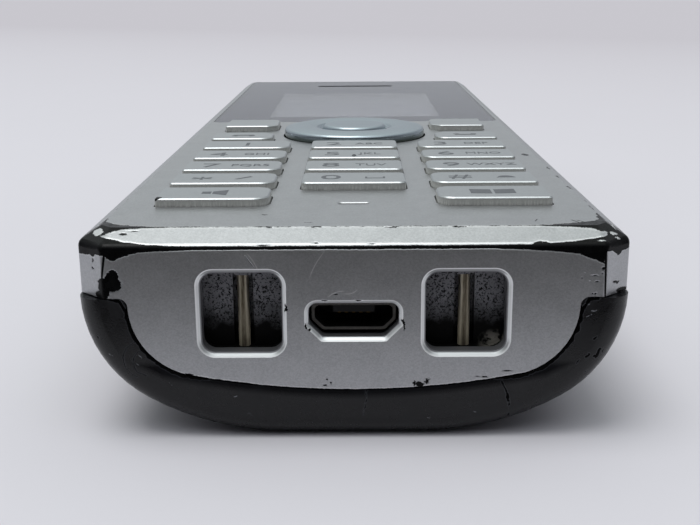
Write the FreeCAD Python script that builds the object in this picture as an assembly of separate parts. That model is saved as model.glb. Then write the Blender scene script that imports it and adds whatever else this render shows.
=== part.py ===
import FreeCAD, Part
import math
import os

from FreeCAD import Vector

# A cordless wi-fi handset that lies on its back, in millimetres.
# X runs across it, Y along it from the charging end to the earpiece end, and Z up from the table.
# Places along the handset are written as distances from the charging end.

# Keypad, from which the width and length of the case follow
key_width = 10.9
key_length = 5.7
column_gap = 2.73
row_gap = 2.27
row_start = 11.0
key_corner = 0.7
key_inner_corner = 1.5
key_outer_corner = 0.4
key_rise = 0.8
key_edge = 0.12
key_hole_gap = 0.15
key_lip = 0.5
key_lip_height = 0.6
key_play = 0.1
key_travel = 0.4
plunger_radius = 1.5
plunger_length = 0.8
call_key_width = 8.1
soft_key_width = 7.6
soft_key_length = 7.2
soft_key_setback = 12.45
soft_key_inset = 0.33
key_cut = 1.3
key_cut_round = 0.5

# Navigation ring and the key in its middle
nav_radius = 9.8
nav_setback = 8.85
nav_rise = 1.2
nav_dome = 0.25
nav_edge = 0.55
nav_gap = 0.22
nav_lip = 0.5
nav_lip_drop = 0.4
nav_lip_height = 0.6
nav_tilt_room = 0.35
centre_radius = 4.4
centre_gap = 0.35
centre_rise = 1.55
centre_lip = 0.9
centre_lip_height = 0.5
carrier_width = 3.0
carrier_thickness = 0.55
carrier_nub_radius = 0.8
carrier_nub_length = 0.5
rocker_gap = 0.05
rocker_width = 0.7

# Case
side_margin = 5.17
hull_depth = 13.2
front_depth = 5.8
plate_thickness = 1.6
front_wall = 1.4
rear_wall = 1.6
parting_gap = 0.1
chamfer_side = 1.86
chamfer_end = 2.45
chamfer_drop = 1.15
rim_round = 0.7
facet_x = 2.5
facet_y = 2.3
facet_round = 0.5
plate_facet = 1.1
hull_flat = 6.3
hull_side_radius = 11.3
hull_end_round = 2.1
lip_thickness = 0.7
lip_height = 1.1
lip_gap = 0.1

# End face tongue, which the hull wraps
tongue_half_width = 19.75
tongue_bottom = 4.7
tongue_lean = 3.0
tongue_corner = 6.5
tongue_shoulder = 0.8
tongue_sweep = 76.0
tongue_thickness = 1.5
tongue_gap = 0.12

# Charging windows, pockets and contact rods
charge_x = 9.82
charge_z = 11.78
charge_width = 7.05
charge_height = 7.24
charge_corner = 1.15
charge_bevel = 0.44
charge_bevel_depth = 0.32
pocket_depth = 0.65
pocket_wall = 0.9
groove_width = 1.8
groove_depth = 0.9
holder_back = 2.35
hood_drop = 0.55
hood_width = 1.5
rod_radius = 0.52
rod_setback = 0.78
rod_fit = 0.02
rod_seat = 0.5
leg_width = 1.4
leg_thickness = 0.3
leg_reach = 1.2

# Display window and display
window_gap_y = 3.5
window_rim = 0.35
window_thickness = 1.15
window_fit = 0.05
window_corner = 1.2
view_setback = 7.0
view_half_width = 13.8
view_length = 37.0
view_margin = 0.5
display_gasket_thickness = 0.5
glass_border = 1.4
glass_thickness = 1.5
backlight_thickness = 1.05
display_frame_wall = 1.2
display_fit = 0.1

# Earpiece, microphone and the slits over them
earpiece_setback = 14.0
earpiece_half_width = 7.8
earpiece_slit = 2.0
earpiece_far_margin = 10.2
mesh_border = 0.8
mesh_thickness = 0.25
foam_thickness = 0.6
foam_width = 1.6
receiver_height = 2.9
microphone_y = 12.3
microphone_slit_width = 3.0
microphone_slit = 0.8
microphone_radius = 1.9
microphone_height = 1.5
boot_wall = 0.6
slit_flat = 0.05
slit_bevel = 0.1

# Main board and keypad layers
board_drop = 3.9
board_thickness = 1.0
board_side_gap = 0.25
dome_film = 0.1
dome_radius = 2.2
dome_top_radius = 1.1
dome_height = 0.35
mat_thickness = 0.5
mat_lift = 0.5
mat_margin = 1.3
mat_rim = 0.9
mat_pad_radius = 2.0
mat_notch_gap = 0.4
shield_length = 28.0
shield_half_width = 11.0
shield_wall = 0.2
chip_height = 1.0
chip_width = 5.0
chip_side_gap = 2.0
long_chip_length = 7.0
long_chip_setback = 1.0
short_chip_length = 4.0
short_chip_setback = 3.0
radio_chip_width = 8.0
radio_chip_gap = 4.0
capacitor_count = 6
capacitor_x = 8.0
capacitor_width = 1.6
capacitor_length = 1.0
capacitor_pitch = 2.2
capacitor_gap = 2.5
part_clearance = 0.3

# Micro-USB socket
usb_half_width = 3.7
usb_height = 2.5
usb_cut = 0.95
usb_wall = 0.25
usb_recess = 1.0
usb_length = 5.2
usb_gap = 0.25
usb_gap_above = 0.14
usb_gap_below = 0.44
usb_bevel = 0.37
usb_bevel_depth = 0.32
usb_tongue_half_width = 1.85
usb_tongue_height = 0.6
usb_tongue_drop = 0.6
usb_contact_count = 5
usb_contact_pitch = 0.65
usb_contact_width = 0.3
usb_contact_height = 0.15
usb_tab_side = 1.2
usb_tab_setback = 1.7
usb_rounding = 0.45
usb_cut_rounding = 0.75
usb_contact_inset = 1.3
usb_base = 1.3

# Battery, its bay and its cover
bay_start = 31.5
battery_length = 60.0
battery_half_width = 16.5
battery_thickness = 4.9
battery_floor_gap = 0.3
battery_gap = 0.2
battery_side_gap = 0.4
battery_corner = 2.0
terminal_space = 4.0
terminal_count = 3
terminal_pitch = 3.0
terminal_thickness = 0.5
terminal_height = 2.0
connector_half_width = 5.0
connector_depth = 2.3
bay_floor = 1.0
bay_side_wall = 3.3
bay_end_wall = 3.2
cover_ledge = 1.7
cover_thickness = 1.35
cover_raise = 0.2
cover_side_gap = 0.15
cover_hook_gap = 0.1
cover_free_gap = 0.25
cover_rib_width = 1.0
cover_rib_inset = 6.5
hook_inner = 2.8
hook_width = 3.6
hook_reach = 1.6
hook_thickness = 0.8
hook_lift = 0.2
hook_room = 1.1
hook_side_gap = 0.3
scoop_radius = 4.2
scoop_depth = 1.0
scoop_half_width = 5.0

# Loudspeaker in the back
speaker_setback = 15.4
speaker_radius = 8.0
speaker_height = 4.2
speaker_basket_height = 2.1
speaker_foam = 0.5
speaker_foam_width = 1.8
speaker_floor_gap = 0.2
speaker_rib = 1.0
speaker_rib_height = 3.4
speaker_fit = 0.3
speaker_hole_radius = 0.65
speaker_hole_pitch = 2.1
speaker_hole_rings = 2
cloth_thickness = 0.2

# Antenna at the far end
antenna_half_width = 11.0
antenna_length = 9.0
antenna_height = 2.4
antenna_wall = 1.0
antenna_foil = 0.3
antenna_track = 1.6
antenna_short_track = 16.5
antenna_far_gap = 2.4

# Screws
case_screw_inset = 5.65
case_screw_end = 7.5
case_screw_far = 8.0
case_screw_seat = 7.2
case_screw_radius = 1.0
case_screw_length = 8.2
case_head_radius = 1.7
case_head_height = 1.4
head_gap = 0.2
shank_gap = 0.1
thread_fit = 0.02
front_boss_radius = 2.3
rear_boss_radius = 2.6
boss_joint_drop = 1.6
boss_joint_gap = 0.1
board_screw_inset = 4.95
board_screw_setback = 1.5
board_screw_beyond = 4.2
board_boss_radius = 1.9
board_screw_radius = 0.8
board_screw_length = 3.4
board_head_radius = 1.5
board_head_height = 0.9
driver_recess = 1.3
driver_recess_depth = 0.5

# How far a cut runs past the surface that it opens
cut_over = 1.0

# Two places closer than this are the same place
same_place = 0.001

# Places that follow from the sizes above
row_pitch = key_length + row_gap
column_pitch = key_width + column_gap
key_edge_x = column_pitch + key_width / 2
half_width = key_edge_x + side_margin
call_row_y = row_start + 5 * row_pitch
nav_y = call_row_y + nav_setback
soft_row_y = call_row_y + soft_key_setback
soft_row_back = soft_row_y + soft_key_length
window_start = soft_row_back + window_gap_y
view_start = window_start + view_setback
view_end = view_start + view_length
earpiece_y = view_end + earpiece_setback
window_end = earpiece_y + earpiece_far_margin
length = window_end + window_rim + chamfer_end

top_z = hull_depth + front_depth
plate_under = top_z - plate_thickness
chamfer_z = top_z - chamfer_drop
hull_top = hull_depth - parting_gap
belly_room = half_width - hull_flat - hull_side_radius
belly_radius = ((belly_room ** 2 + hull_top ** 2 - hull_side_radius ** 2)
                / (2 * (hull_top - hull_side_radius)))
belly_turn = math.atan2(hull_top - belly_radius, belly_room)
plate_half_width = half_width - chamfer_side
window_floor = top_z - window_thickness
board_top = plate_under - board_drop
board_under = board_top - board_thickness
lip_top = hull_depth + lip_height
mat_top = board_top + dome_film + mat_lift + mat_thickness
key_lip_top = plate_under - key_play
key_lip_under = key_lip_top - key_lip_height
nav_lip_top = plate_under - nav_lip_drop
nav_lip_under = nav_lip_top - nav_lip_height
carrier_top = nav_lip_under - nav_tilt_room
carrier_under = carrier_top - carrier_thickness


def hull_height(x, inset):
    """Height of the back's surface, drawn in by inset, at this distance from its middle line."""
    belly = belly_radius - inset
    if x <= hull_flat:
        return inset
    if x <= hull_flat + belly * math.cos(belly_turn):
        return belly_radius - math.sqrt(belly ** 2 - (x - hull_flat) ** 2)
    beyond = x - half_width + hull_side_radius
    return hull_top - math.sqrt((hull_side_radius - inset) ** 2 - beyond ** 2)


battery_bottom = hull_height(battery_half_width, cover_thickness) + battery_floor_gap
bay_top = battery_bottom + battery_thickness + battery_gap
bay_roof = bay_top + bay_floor
bay_end = bay_start + battery_side_gap + battery_length + terminal_space
bay_half_width = battery_half_width + battery_side_gap
cover_half_width = bay_half_width + cover_ledge
cover_start = bay_start - cover_ledge
cover_end = bay_end + cover_ledge
hook_floor = rear_wall + hook_lift
hook_top = hook_floor + hook_thickness
holder_face = tongue_thickness + rod_fit
pocket_back = holder_face + pocket_depth
holder_end = pocket_back + groove_depth + holder_back
holder_bottom = charge_z - charge_height / 2 - pocket_wall
holder_top = charge_z + charge_height / 2 + pocket_wall
usb_top = board_under - rod_fit
usb_bottom = usb_top - usb_height
speaker_y = cover_end + speaker_setback
case_screw_x = half_width - case_screw_inset
case_screw_places = [(side * case_screw_x, y) for side in (-1, 1)
                     for y in (case_screw_end, length - case_screw_far)]
board_screw_x = half_width - board_screw_inset
board_screw_places = [(side * board_screw_x, y) for side in (-1, 1)
                      for y in (window_start + board_screw_setback, view_end + board_screw_beyond)]
boss_joint_z = board_under - boss_joint_drop


# Shape helpers

def from_end(distance):
    """Y in the part's frame of a place that lies this far from the charging end."""
    return distance - length / 2


def level(z):
    """Puts a flat outline of X and distance from the end at height z."""
    return lambda x, y: Vector(x, from_end(y), z)


def upright(y):
    """Puts an outline of X and Z at this distance from the end."""
    return lambda x, z: Vector(x, from_end(y), z)


def block(x0, x1, y0, y1, z0, z1):
    return Part.makeBox(x1 - x0, y1 - y0, z1 - z0, Vector(x0, from_end(y0), z0))


def post(x, y, z0, z1, radius):
    return Part.makeCylinder(radius, z1 - z0, Vector(x, from_end(y), z0))


def rounded_wire(corners, place):
    """Closed outline through corners (u, v, radius), each rounded by a tangent arc."""
    edges = []
    ends = []
    for index, (u, v, radius) in enumerate(corners):
        corner = Vector(u, v, 0)
        before = Vector(*corners[index - 1][:2], 0) - corner
        after = Vector(*corners[(index + 1) % len(corners)][:2], 0) - corner
        before.normalize()
        after.normalize()
        if radius == 0:
            ends.append((corner, None, corner))
            continue
        half = before.getAngle(after) / 2
        reach = radius / math.tan(half)
        middle = before + after
        middle.normalize()
        arc_middle = corner + middle * (radius / math.sin(half) - radius)
        ends.append((corner + before * reach, arc_middle, corner + after * reach))
    for index, (start, arc_middle, finish) in enumerate(ends):
        following = ends[(index + 1) % len(ends)][0]
        if arc_middle is not None:
            edges.append(Part.Arc(*[place(p.x, p.y) for p in (start, arc_middle, finish)]).toShape())
        edges.append(Part.LineSegment(place(finish.x, finish.y), place(following.x, following.y)).toShape())
    return Part.Wire(edges)


def rectangle(x0, x1, y0, y1, radius, place):
    return rounded_wire([(x0, y0, radius), (x1, y0, radius), (x1, y1, radius), (x0, y1, radius)], place)


def slab(wire_maker, z0, z1):
    """Upright prism between two heights. The outline comes from a function of its placing."""
    return Part.Face(wire_maker(level(z0))).extrude(Vector(0, 0, z1 - z0))


def prism_along(wire_maker, y0, y1):
    """Prism along the handset between two distances from the end."""
    return Part.Face(wire_maker(upright(y0))).extrude(Vector(0, y1 - y0, 0))


def loft(first, second):
    return Part.makeLoft([first, second], True, True)


def chamfered_slab(wire_maker, z0, z1, edge, inner_maker):
    """Prism whose upper rim slopes in by the edge width, which inner_maker already takes off."""
    body = slab(wire_maker, z0, z1 - edge)
    return body.fuse(loft(wire_maker(level(z1 - edge)), inner_maker(level(z1)))).removeSplitter()


def joined(shapes):
    first = shapes[0]
    return first.fuse(shapes[1:]).removeSplitter() if len(shapes) > 1 else first


# Case outlines

def case_wire(side, near, far, place, cut_x=facet_x, cut_y=facet_y):
    """Plan outline of the case with its corner facets, drawn in by the given insets."""
    x = half_width - side
    corners = []
    for sign_x, sign_y in ((-1, -1), (1, -1), (1, 1), (-1, 1)):
        y = near if sign_y < 0 else length - far
        on_end = (sign_x * (x - cut_x), y, facet_round)
        on_side = (sign_x * x, y - sign_y * cut_y, facet_round)
        corners += [on_side, on_end] if sign_x * sign_y > 0 else [on_end, on_side]
    return rounded_wire(corners, place)


def hull_wire(inset, top, place):
    """Boat-shaped section of the back: a flat strip, two bottom arcs, two side arcs."""
    belly = belly_radius - inset
    bilge = hull_side_radius - inset

    def arc(side, centre_x, centre_z, radius, start, finish):
        angles = (start, (start + finish) / 2, finish)
        points = [(side * (centre_x + radius * math.cos(a)), centre_z + radius * math.sin(a)) for a in angles]
        if side < 0:
            points.reverse()
        return Part.Arc(*[place(x, z) for x, z in points]).toShape()

    def line(x0, z0, x1, z1):
        return Part.LineSegment(place(x0, z0), place(x1, z1)).toShape()

    edges = [arc(-1, half_width - hull_side_radius, hull_top, bilge, belly_turn, 0)]
    edges.append(arc(-1, hull_flat, belly_radius, belly, -math.pi / 2, belly_turn))
    edges.append(line(-hull_flat, inset, hull_flat, inset))
    edges.append(arc(1, hull_flat, belly_radius, belly, -math.pi / 2, belly_turn))
    edges.append(arc(1, half_width - hull_side_radius, hull_top, bilge, belly_turn, 0))
    x = half_width - inset
    if top > hull_top:
        edges.append(line(x, hull_top, x, top))
    edges.append(line(x, top, -x, top))
    if top > hull_top:
        edges.append(line(-x, top, -x, hull_top))
    return Part.Wire(edges)


def curve(points, place):
    """Straight edge through two points, or an arc through three."""
    placed = [place(x, z) for x, z in points]
    return (Part.Arc(*placed) if len(placed) > 2 else Part.LineSegment(*placed)).toShape()


def tongue_wire(grow, place):
    """Outline of the tongue: shoulders, leaning sides, corner arcs and one wide arc below."""
    lean = math.radians(tongue_lean)
    sweep_z = tongue_bottom + tongue_sweep
    base_x = tongue_half_width - tongue_corner * math.cos(lean)
    base_z = hull_depth + tongue_corner * math.sin(lean) - sweep_z
    along = base_x * math.sin(lean) + base_z * math.cos(lean)
    reach = along + math.sqrt(along ** 2 - base_x ** 2 - base_z ** 2 + (tongue_sweep - tongue_corner) ** 2)
    corner_x = base_x - reach * math.sin(lean)
    corner_z = base_z - reach * math.cos(lean) + sweep_z
    join = math.atan2(corner_z - sweep_z, corner_x)
    radius = tongue_corner + grow

    def on_corner(angle):
        return corner_x + radius * math.cos(angle), corner_z + radius * math.sin(angle)

    top_x = tongue_half_width + grow / math.cos(lean)
    outer_x = top_x + tongue_shoulder + tongue_gap
    half = math.pi / 4 + lean / 2
    tangent = tongue_shoulder / math.tan(half)
    depth = tongue_shoulder / math.sin(half) - tongue_shoulder
    side_top = top_x - tangent * math.sin(lean), hull_depth - tangent * math.cos(lean)
    right = [[(outer_x, hull_depth + tongue_thickness), (outer_x, hull_depth)],
             [(outer_x, hull_depth), (top_x + tangent, hull_depth)],
             [(top_x + tangent, hull_depth),
              (top_x + depth * math.cos(half), hull_depth - depth * math.sin(half)), side_top],
             [side_top, on_corner(-lean)],
             [on_corner(-lean), on_corner((join - lean) / 2), on_corner(join)]]
    left = [[(-x, z) for x, z in reversed(points)] for points in reversed(right)]
    bottom = [right[-1][-1], (0, tongue_bottom - grow), left[0][0]]
    closing = [left[-1][-1], right[0][0]]
    return Part.Wire([curve(points, place) for points in right + [bottom] + left + [closing]])


def charge_wire(side, grow, place):
    x = side * charge_x
    half_x = charge_width / 2 + grow
    half_z = charge_height / 2 + grow
    return rectangle(x - half_x, x + half_x, charge_z - half_z, charge_z + half_z,
                     charge_corner + grow, place)


def usb_wire(grow, place, rounding=usb_rounding, raised=0, lowered=0):
    """Socket outline: wide side up, the lower corners cut."""
    x = usb_half_width + grow
    bottom = usb_bottom - grow - lowered
    top = usb_top + grow + raised
    cut = usb_cut + grow * math.tan(math.pi / 8) + lowered
    outline = [(-x + cut, bottom), (x - cut, bottom), (x, bottom + cut), (x, top), (-x, top),
               (-x, bottom + cut)]
    return rounded_wire([(u, v, rounding) for u, v in outline], place)


def usb_opening(grow, place):
    """Outline of the opening for the socket, with its own clearance at the sides, above and below."""
    return usb_wire(usb_gap + grow, place, usb_cut_rounding + grow, usb_gap_above - usb_gap,
                    usb_gap_below - usb_gap)


# Keys

def key_table():
    """Name, side edges, front and back edge, and which inner corner is cut away for the ring."""
    names = [("key_handsfree", None, "key_directory"), ("key_star", "key_0", "key_hash"),
             ("key_7", "key_8", "key_9"), ("key_4", "key_5", "key_6"), ("key_1", "key_2", "key_3")]
    keys = {}
    for row, row_names in enumerate(names):
        y = row_start + row * row_pitch
        for column, name in zip((-1, 0, 1), row_names):
            x = column * column_pitch
            if name is not None:
                keys[name] = (x - key_width / 2, x + key_width / 2, y, y + key_length, 0, 0)
    for side, call_name, soft_name in ((-1, "key_talk", "key_soft_left"), (1, "key_off", "key_soft_right")):
        outer = side * key_edge_x
        inner = side * (key_edge_x - call_key_width)
        keys[call_name] = (min(outer, inner), max(outer, inner), call_row_y, call_row_y + key_length, side, 1)
        outer = side * (key_edge_x - soft_key_inset)
        inner = outer - side * soft_key_width
        keys[soft_name] = (min(outer, inner), max(outer, inner), soft_row_y, soft_row_back, side, -1)
    return keys


def key_radius(key, sign_x):
    """The keys of the outer columns are rounder towards the middle column."""
    inward = -sign_x * (key[0] + key[1])
    if abs(inward) < same_place:
        return key_corner
    return key_inner_corner if inward > 0 else key_outer_corner


def key_wire(key, grow, lip, place):
    """Outline of a key. The lip lengthens its front and back edge only."""
    x0, x1, y0, y1, side, end = key
    x0, x1 = x0 - grow, x1 + grow
    y0, y1 = y0 - grow - lip, y1 + grow + lip
    corners = []
    for sign_x, sign_y in ((-1, -1), (1, -1), (1, 1), (-1, 1)):
        x = x0 if sign_x < 0 else x1
        y = y0 if sign_y < 0 else y1
        if side == -sign_x and end == sign_y:
            on_x = (x - sign_x * key_cut, y, key_cut_round)
            on_y = (x, y - sign_y * key_cut, key_cut_round)
            corners += [on_y, on_x] if sign_x * sign_y > 0 else [on_x, on_y]
        else:
            corners.append((x, y, key_radius(key, sign_x) + grow))
    return rounded_wire(corners, place)


def key_middle(key):
    return (key[0] + key[1]) / 2, (key[2] + key[3]) / 2


def make_key(key):
    """Hard key cap with a lip that keeps it under the plate and a plunger for its dome."""
    top = top_z + key_rise
    cap = chamfered_slab(lambda p: key_wire(key, 0, 0, p), key_lip_under, top, key_edge,
                         lambda p: key_wire(key, -key_edge, 0, p))
    lip = slab(lambda p: key_wire(key, 0, key_lip, p), key_lip_under, key_lip_top)
    x, y = key_middle(key)
    plunger = post(x, y, key_lip_under - plunger_length, key_lip_top, plunger_radius)
    return joined([cap, lip, plunger])


def turned(points):
    """Solid of revolution about the navigation axis. A point with a third value starts an arc to it."""
    edges = []
    here = points[0]
    for step in points[1:] + [points[0]]:
        start = Vector(here[0], from_end(nav_y), here[1])
        finish = Vector(step[0], from_end(nav_y), step[1])
        if len(step) > 2:
            edges.append(Part.Arc(start, Vector(step[2], from_end(nav_y), step[3]), finish).toShape())
        else:
            edges.append(Part.LineSegment(start, finish).toShape())
        here = step
    face = Part.Face(Part.Wire(edges))
    return face.revolve(Vector(0, from_end(nav_y), 0), Vector(0, 0, 1), 360)


def make_nav_ring():
    """Round rocker cap with a rounded bright rim, a low dome and a hole for the centre key."""
    inner = centre_radius + centre_gap
    hollow = centre_radius + centre_lip + centre_gap
    rim = top_z + nav_rise
    bend = nav_edge * (1 - math.sqrt(0.5))
    middle = (nav_radius - nav_edge + inner) / 2
    roof = carrier_top + nav_tilt_room + centre_lip_height + centre_gap
    return turned([
        (inner, roof), (hollow, roof), (hollow, nav_lip_under), (nav_radius + nav_lip, nav_lip_under),
        (nav_radius + nav_lip, nav_lip_top), (nav_radius, nav_lip_top), (nav_radius, rim - nav_edge),
        (nav_radius - nav_edge, rim, nav_radius - bend, rim - bend),
        (inner + nav_edge, rim, middle, rim + nav_dome), (inner, rim - nav_edge)])


def make_nav_centre():
    """Round key in the middle of the ring, with its own lip and plunger."""
    top = top_z + centre_rise
    lip_under = carrier_top + nav_tilt_room - centre_gap / 2
    lip_top = lip_under + centre_lip_height
    tip = lip_under - plunger_length - key_travel
    bend = nav_edge * (1 - math.sqrt(0.5))
    return turned([
        (0, tip), (plunger_radius, tip), (plunger_radius, lip_under), (centre_radius + centre_lip, lip_under),
        (centre_radius + centre_lip, lip_top), (centre_radius, lip_top), (centre_radius, top - nav_edge),
        (centre_radius - nav_edge, top, centre_radius - bend, top - bend), (0, top)])


def make_nav_carrier():
    """Washer under the ring: the ring rocks fore and aft on its ridge, and it rocks left and right."""
    inner = centre_radius + centre_lip + centre_gap
    outer = inner + carrier_width
    middle = (inner + outer) / 2 + rocker_width / 2
    washer = post(0, nav_y, carrier_under, carrier_top, outer)
    washer = washer.cut(post(0, nav_y, carrier_under, carrier_top, inner))
    added = []
    for angle in (0, 90, 180, 270):
        x = middle * math.cos(math.radians(angle))
        y = nav_y + middle * math.sin(math.radians(angle))
        added.append(post(x, y, carrier_under - carrier_nub_length, carrier_top, carrier_nub_radius))
    for side in (-1, 1):
        near, far = sorted((side * (inner + rocker_gap), side * (outer - rocker_gap)))
        added.append(block(near, far, nav_y - rocker_width / 2, nav_y + rocker_width / 2,
                           carrier_under, nav_lip_under - rocker_gap))
    return joined([washer] + added)


# Silver front and black back

def make_front_shell(keys):
    """Plate with the key holes, its chamfered rim and skirt, and the end face with its tongue."""
    skirt = slab(lambda p: case_wire(0, 0, 0, p), hull_depth, chamfer_z)
    rim = loft(case_wire(0, 0, 0, level(chamfer_z)),
               case_wire(chamfer_side, chamfer_end, chamfer_end, level(top_z), plate_facet, plate_facet))
    case = joined([skirt, rim])
    rim_edges = [edge for edge in case.Edges if abs(edge.BoundBox.ZMin - chamfer_z) < same_place
                 and abs(edge.BoundBox.ZMax - chamfer_z) < same_place]
    case = case.makeFillet(rim_round, rim_edges)
    tongue = prism_along(lambda p: tongue_wire(0, p), 0, tongue_thickness)
    shell = joined([case, tongue])
    upper = slab(lambda p: case_wire(front_wall, tongue_thickness, front_wall, p), lip_top, plate_under)
    step = lip_thickness + lip_gap
    lower = slab(lambda p: case_wire(front_wall - step, tongue_thickness, front_wall - step, p),
                 hull_depth - tongue_thickness, lip_top)
    shell = shell.cut([upper, lower])

    added = []
    for x, y in case_screw_places:
        added.append(post(x, y, boss_joint_z + boss_joint_gap, plate_under, front_boss_radius))
    for x, y in board_screw_places:
        added.append(post(x, y, board_top, plate_under, board_boss_radius))
    shell = shell.fuse(added)

    cuts = [slab(lambda p, key=key: key_wire(key, key_hole_gap, 0, p), plate_under, top_z)
            for key in keys.values()]
    cuts.append(post(0, nav_y, plate_under, top_z, nav_radius + nav_gap))
    cuts.append(slab(lambda p: window_wire(0, p), window_floor, top_z))
    cuts.append(slab(lambda p: view_wire(view_margin, p), plate_under, window_floor))
    cuts.append(slab(lambda p: earpiece_wire(0, p), plate_under, top_z))
    cuts.append(slab(lambda p: microphone_wire(0, p), plate_under, top_z))
    cuts.append(loft(microphone_wire(0, level(top_z - slit_bevel)),
                     microphone_wire(slit_bevel, level(top_z))))
    for side in (-1, 1):
        cuts.append(loft(charge_wire(side, charge_bevel, upright(0)),
                         charge_wire(side, 0, upright(charge_bevel_depth))))
        cuts.append(prism_along(lambda p, side=side: charge_wire(side, 0, p), 0, tongue_thickness))
    cuts.append(loft(usb_opening(usb_bevel, upright(0)), usb_opening(0, upright(usb_bevel_depth))))
    cuts.append(prism_along(lambda p: usb_opening(0, p), 0, tongue_thickness))
    for x, y in case_screw_places:
        depth = case_screw_seat + case_screw_length + head_gap
        cuts.append(post(x, y, boss_joint_z, depth, case_screw_radius + thread_fit))
    for x, y in board_screw_places:
        depth = board_under + board_screw_length + head_gap
        cuts.append(post(x, y, board_top, depth, board_screw_radius + thread_fit))
    return shell.cut(cuts).removeSplitter()


def cover_region(grow, inset):
    """Everything below the hull's own surface, drawn in by inset, within the cover's outline."""
    free_end = cover_free_gap if grow else 0
    hook_end = cover_hook_gap if grow else 0
    side = cover_half_width + grow
    region = block(-side, side, cover_start - free_end, cover_end + hook_end, -cut_over, hull_top)
    inner = prism_along(lambda p: hull_wire(inset, hull_top + cut_over, p), cover_start - cut_over,
                        cover_end + cut_over)
    return region.cut(inner)


def make_rear_shell():
    """Hull with the battery bay, the cover's recess, the screw bosses and the loudspeaker's seat."""
    outer = prism_along(lambda p: hull_wire(0, hull_top, p), 0, length)
    ends = []
    for edge in outer.Edges:
        middle = edge.CenterOfMass
        on_end = abs(abs(middle.y) - length / 2) < same_place
        if on_end and middle.z < hull_top - same_place:
            ends.append(edge)
    outer = outer.makeFillet(hull_end_round, ends)

    inner = prism_along(lambda p: hull_wire(rear_wall, hull_top + cut_over, p), rear_wall, length - rear_wall)
    bay_side = bay_half_width + bay_side_wall
    bay_block = block(-bay_side, bay_side, bay_start - bay_end_wall, bay_end + bay_end_wall,
                      -cut_over, bay_roof)
    shell = outer.cut(inner.cut(bay_block))

    lip_side = front_wall - lip_thickness
    lip_outer = slab(lambda p: case_wire(lip_side, rear_wall, lip_side, p),
                     hull_depth - rear_wall, lip_top - lip_gap)
    lip_inner = slab(lambda p: case_wire(front_wall, rear_wall - cut_over, front_wall, p),
                     hull_depth - rear_wall - cut_over, lip_top + cut_over)
    lip = lip_outer.cut(lip_inner)
    lip = lip.cut(block(-half_width, half_width, 0, holder_end + rear_wall, 0, top_z))
    added = [lip]
    for x, y in case_screw_places:
        boss = post(x, y, -cut_over, boss_joint_z, rear_boss_radius)
        added.append(boss.common(outer))
    seat = post(0, speaker_y, 0, rear_wall + speaker_rib_height, speaker_radius + speaker_fit + speaker_rib)
    seat = seat.cut(post(0, speaker_y, 0, rear_wall + speaker_rib_height, speaker_radius + speaker_fit))
    added.append(seat.common(outer))
    shell = shell.fuse(added)

    cuts = [prism_along(lambda p: tongue_wire(tongue_gap, p), -cut_over, rear_wall)]
    cuts.append(cover_region(cover_side_gap, cover_thickness + cover_side_gap))
    cuts.append(slab(lambda p: rectangle(-bay_half_width, bay_half_width, bay_start, bay_end,
                                         battery_corner, p), -cut_over, bay_top))
    slot = connector_half_width + battery_gap
    cuts.append(block(-slot, slot, bay_end - connector_depth - battery_gap, bay_end,
                      bay_top - cut_over, bay_roof))
    for side in (-1, 1):
        hook_outer = hook_inner + hook_width
        x0, x1 = sorted((side * (hook_inner - hook_side_gap), side * (hook_outer + hook_side_gap)))
        top = hook_top + hook_room
        cuts.append(block(x0, x1, bay_end - cut_over, cover_end + cover_hook_gap, cover_thickness, top))
        cuts.append(block(x0, x1, bay_end - cut_over, cover_end + hook_reach + hook_side_gap, rear_wall, top))
    scoop = Part.makeCylinder(scoop_radius, 2 * scoop_half_width,
                              Vector(-scoop_half_width, from_end(cover_start), scoop_depth - scoop_radius),
                              Vector(1, 0, 0))
    cuts.append(scoop)
    for x, y in case_screw_places:
        cuts.append(post(x, y, -cut_over, boss_joint_z, case_screw_radius + shank_gap))
        cuts.append(post(x, y, -cut_over, case_screw_seat, case_head_radius + head_gap))
    for x, y in speaker_holes():
        cuts.append(post(x, y, -cut_over, rear_wall + speaker_floor_gap, speaker_hole_radius))
    return shell.cut(cuts).removeSplitter()


def speaker_holes():
    """Round holes in rings of six, twelve and so on about one in the middle."""
    places = [(0, speaker_y)]
    for ring in range(1, speaker_hole_rings + 1):
        for index in range(6 * ring):
            angle = math.radians(360 * index / (6 * ring))
            places.append((ring * speaker_hole_pitch * math.cos(angle),
                           speaker_y + ring * speaker_hole_pitch * math.sin(angle)))
    return places


def make_battery_cover():
    """Curved door flush with the hull, two hooks at one end and two ribs that hold the pack."""
    skin = cover_region(0, cover_thickness)
    outer = prism_along(lambda p: hull_wire(0, hull_top, p), cover_start, cover_end)
    skin = skin.common(outer)
    skin = skin.cut(block(-half_width, half_width, 0, length, -cut_over, cover_raise))
    parts = [skin]
    for side in (-1, 1):
        x0, x1 = sorted((side * hook_inner, side * (hook_inner + hook_width)))
        parts.append(block(x0, x1, cover_end - cover_ledge, cover_end + hook_reach, hook_floor, hook_top))
        parts.append(block(x0, x1, cover_end - cover_ledge, cover_end,
                           cover_thickness - cover_raise, hook_top))
        x = side * (battery_half_width - cover_rib_inset)
        parts.append(block(x - cover_rib_width / 2, x + cover_rib_width / 2, bay_start + cover_rib_inset,
                           bay_end - cover_rib_inset, cover_thickness, battery_bottom - battery_gap))
    return joined(parts)


# Display

def window_wire(grow, place):
    x = plate_half_width - window_rim + grow
    return rectangle(-x, x, window_start - grow, window_end + grow, window_corner, place)


def view_wire(grow, place):
    x = view_half_width + grow
    return rectangle(-x, x, view_start - grow, view_end + grow, window_corner, place)


def earpiece_wire(grow, place):
    x = earpiece_half_width + grow
    half = earpiece_slit / 2 + grow
    return rectangle(-x, x, earpiece_y - half, earpiece_y + half, half - slit_flat, place)


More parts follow.
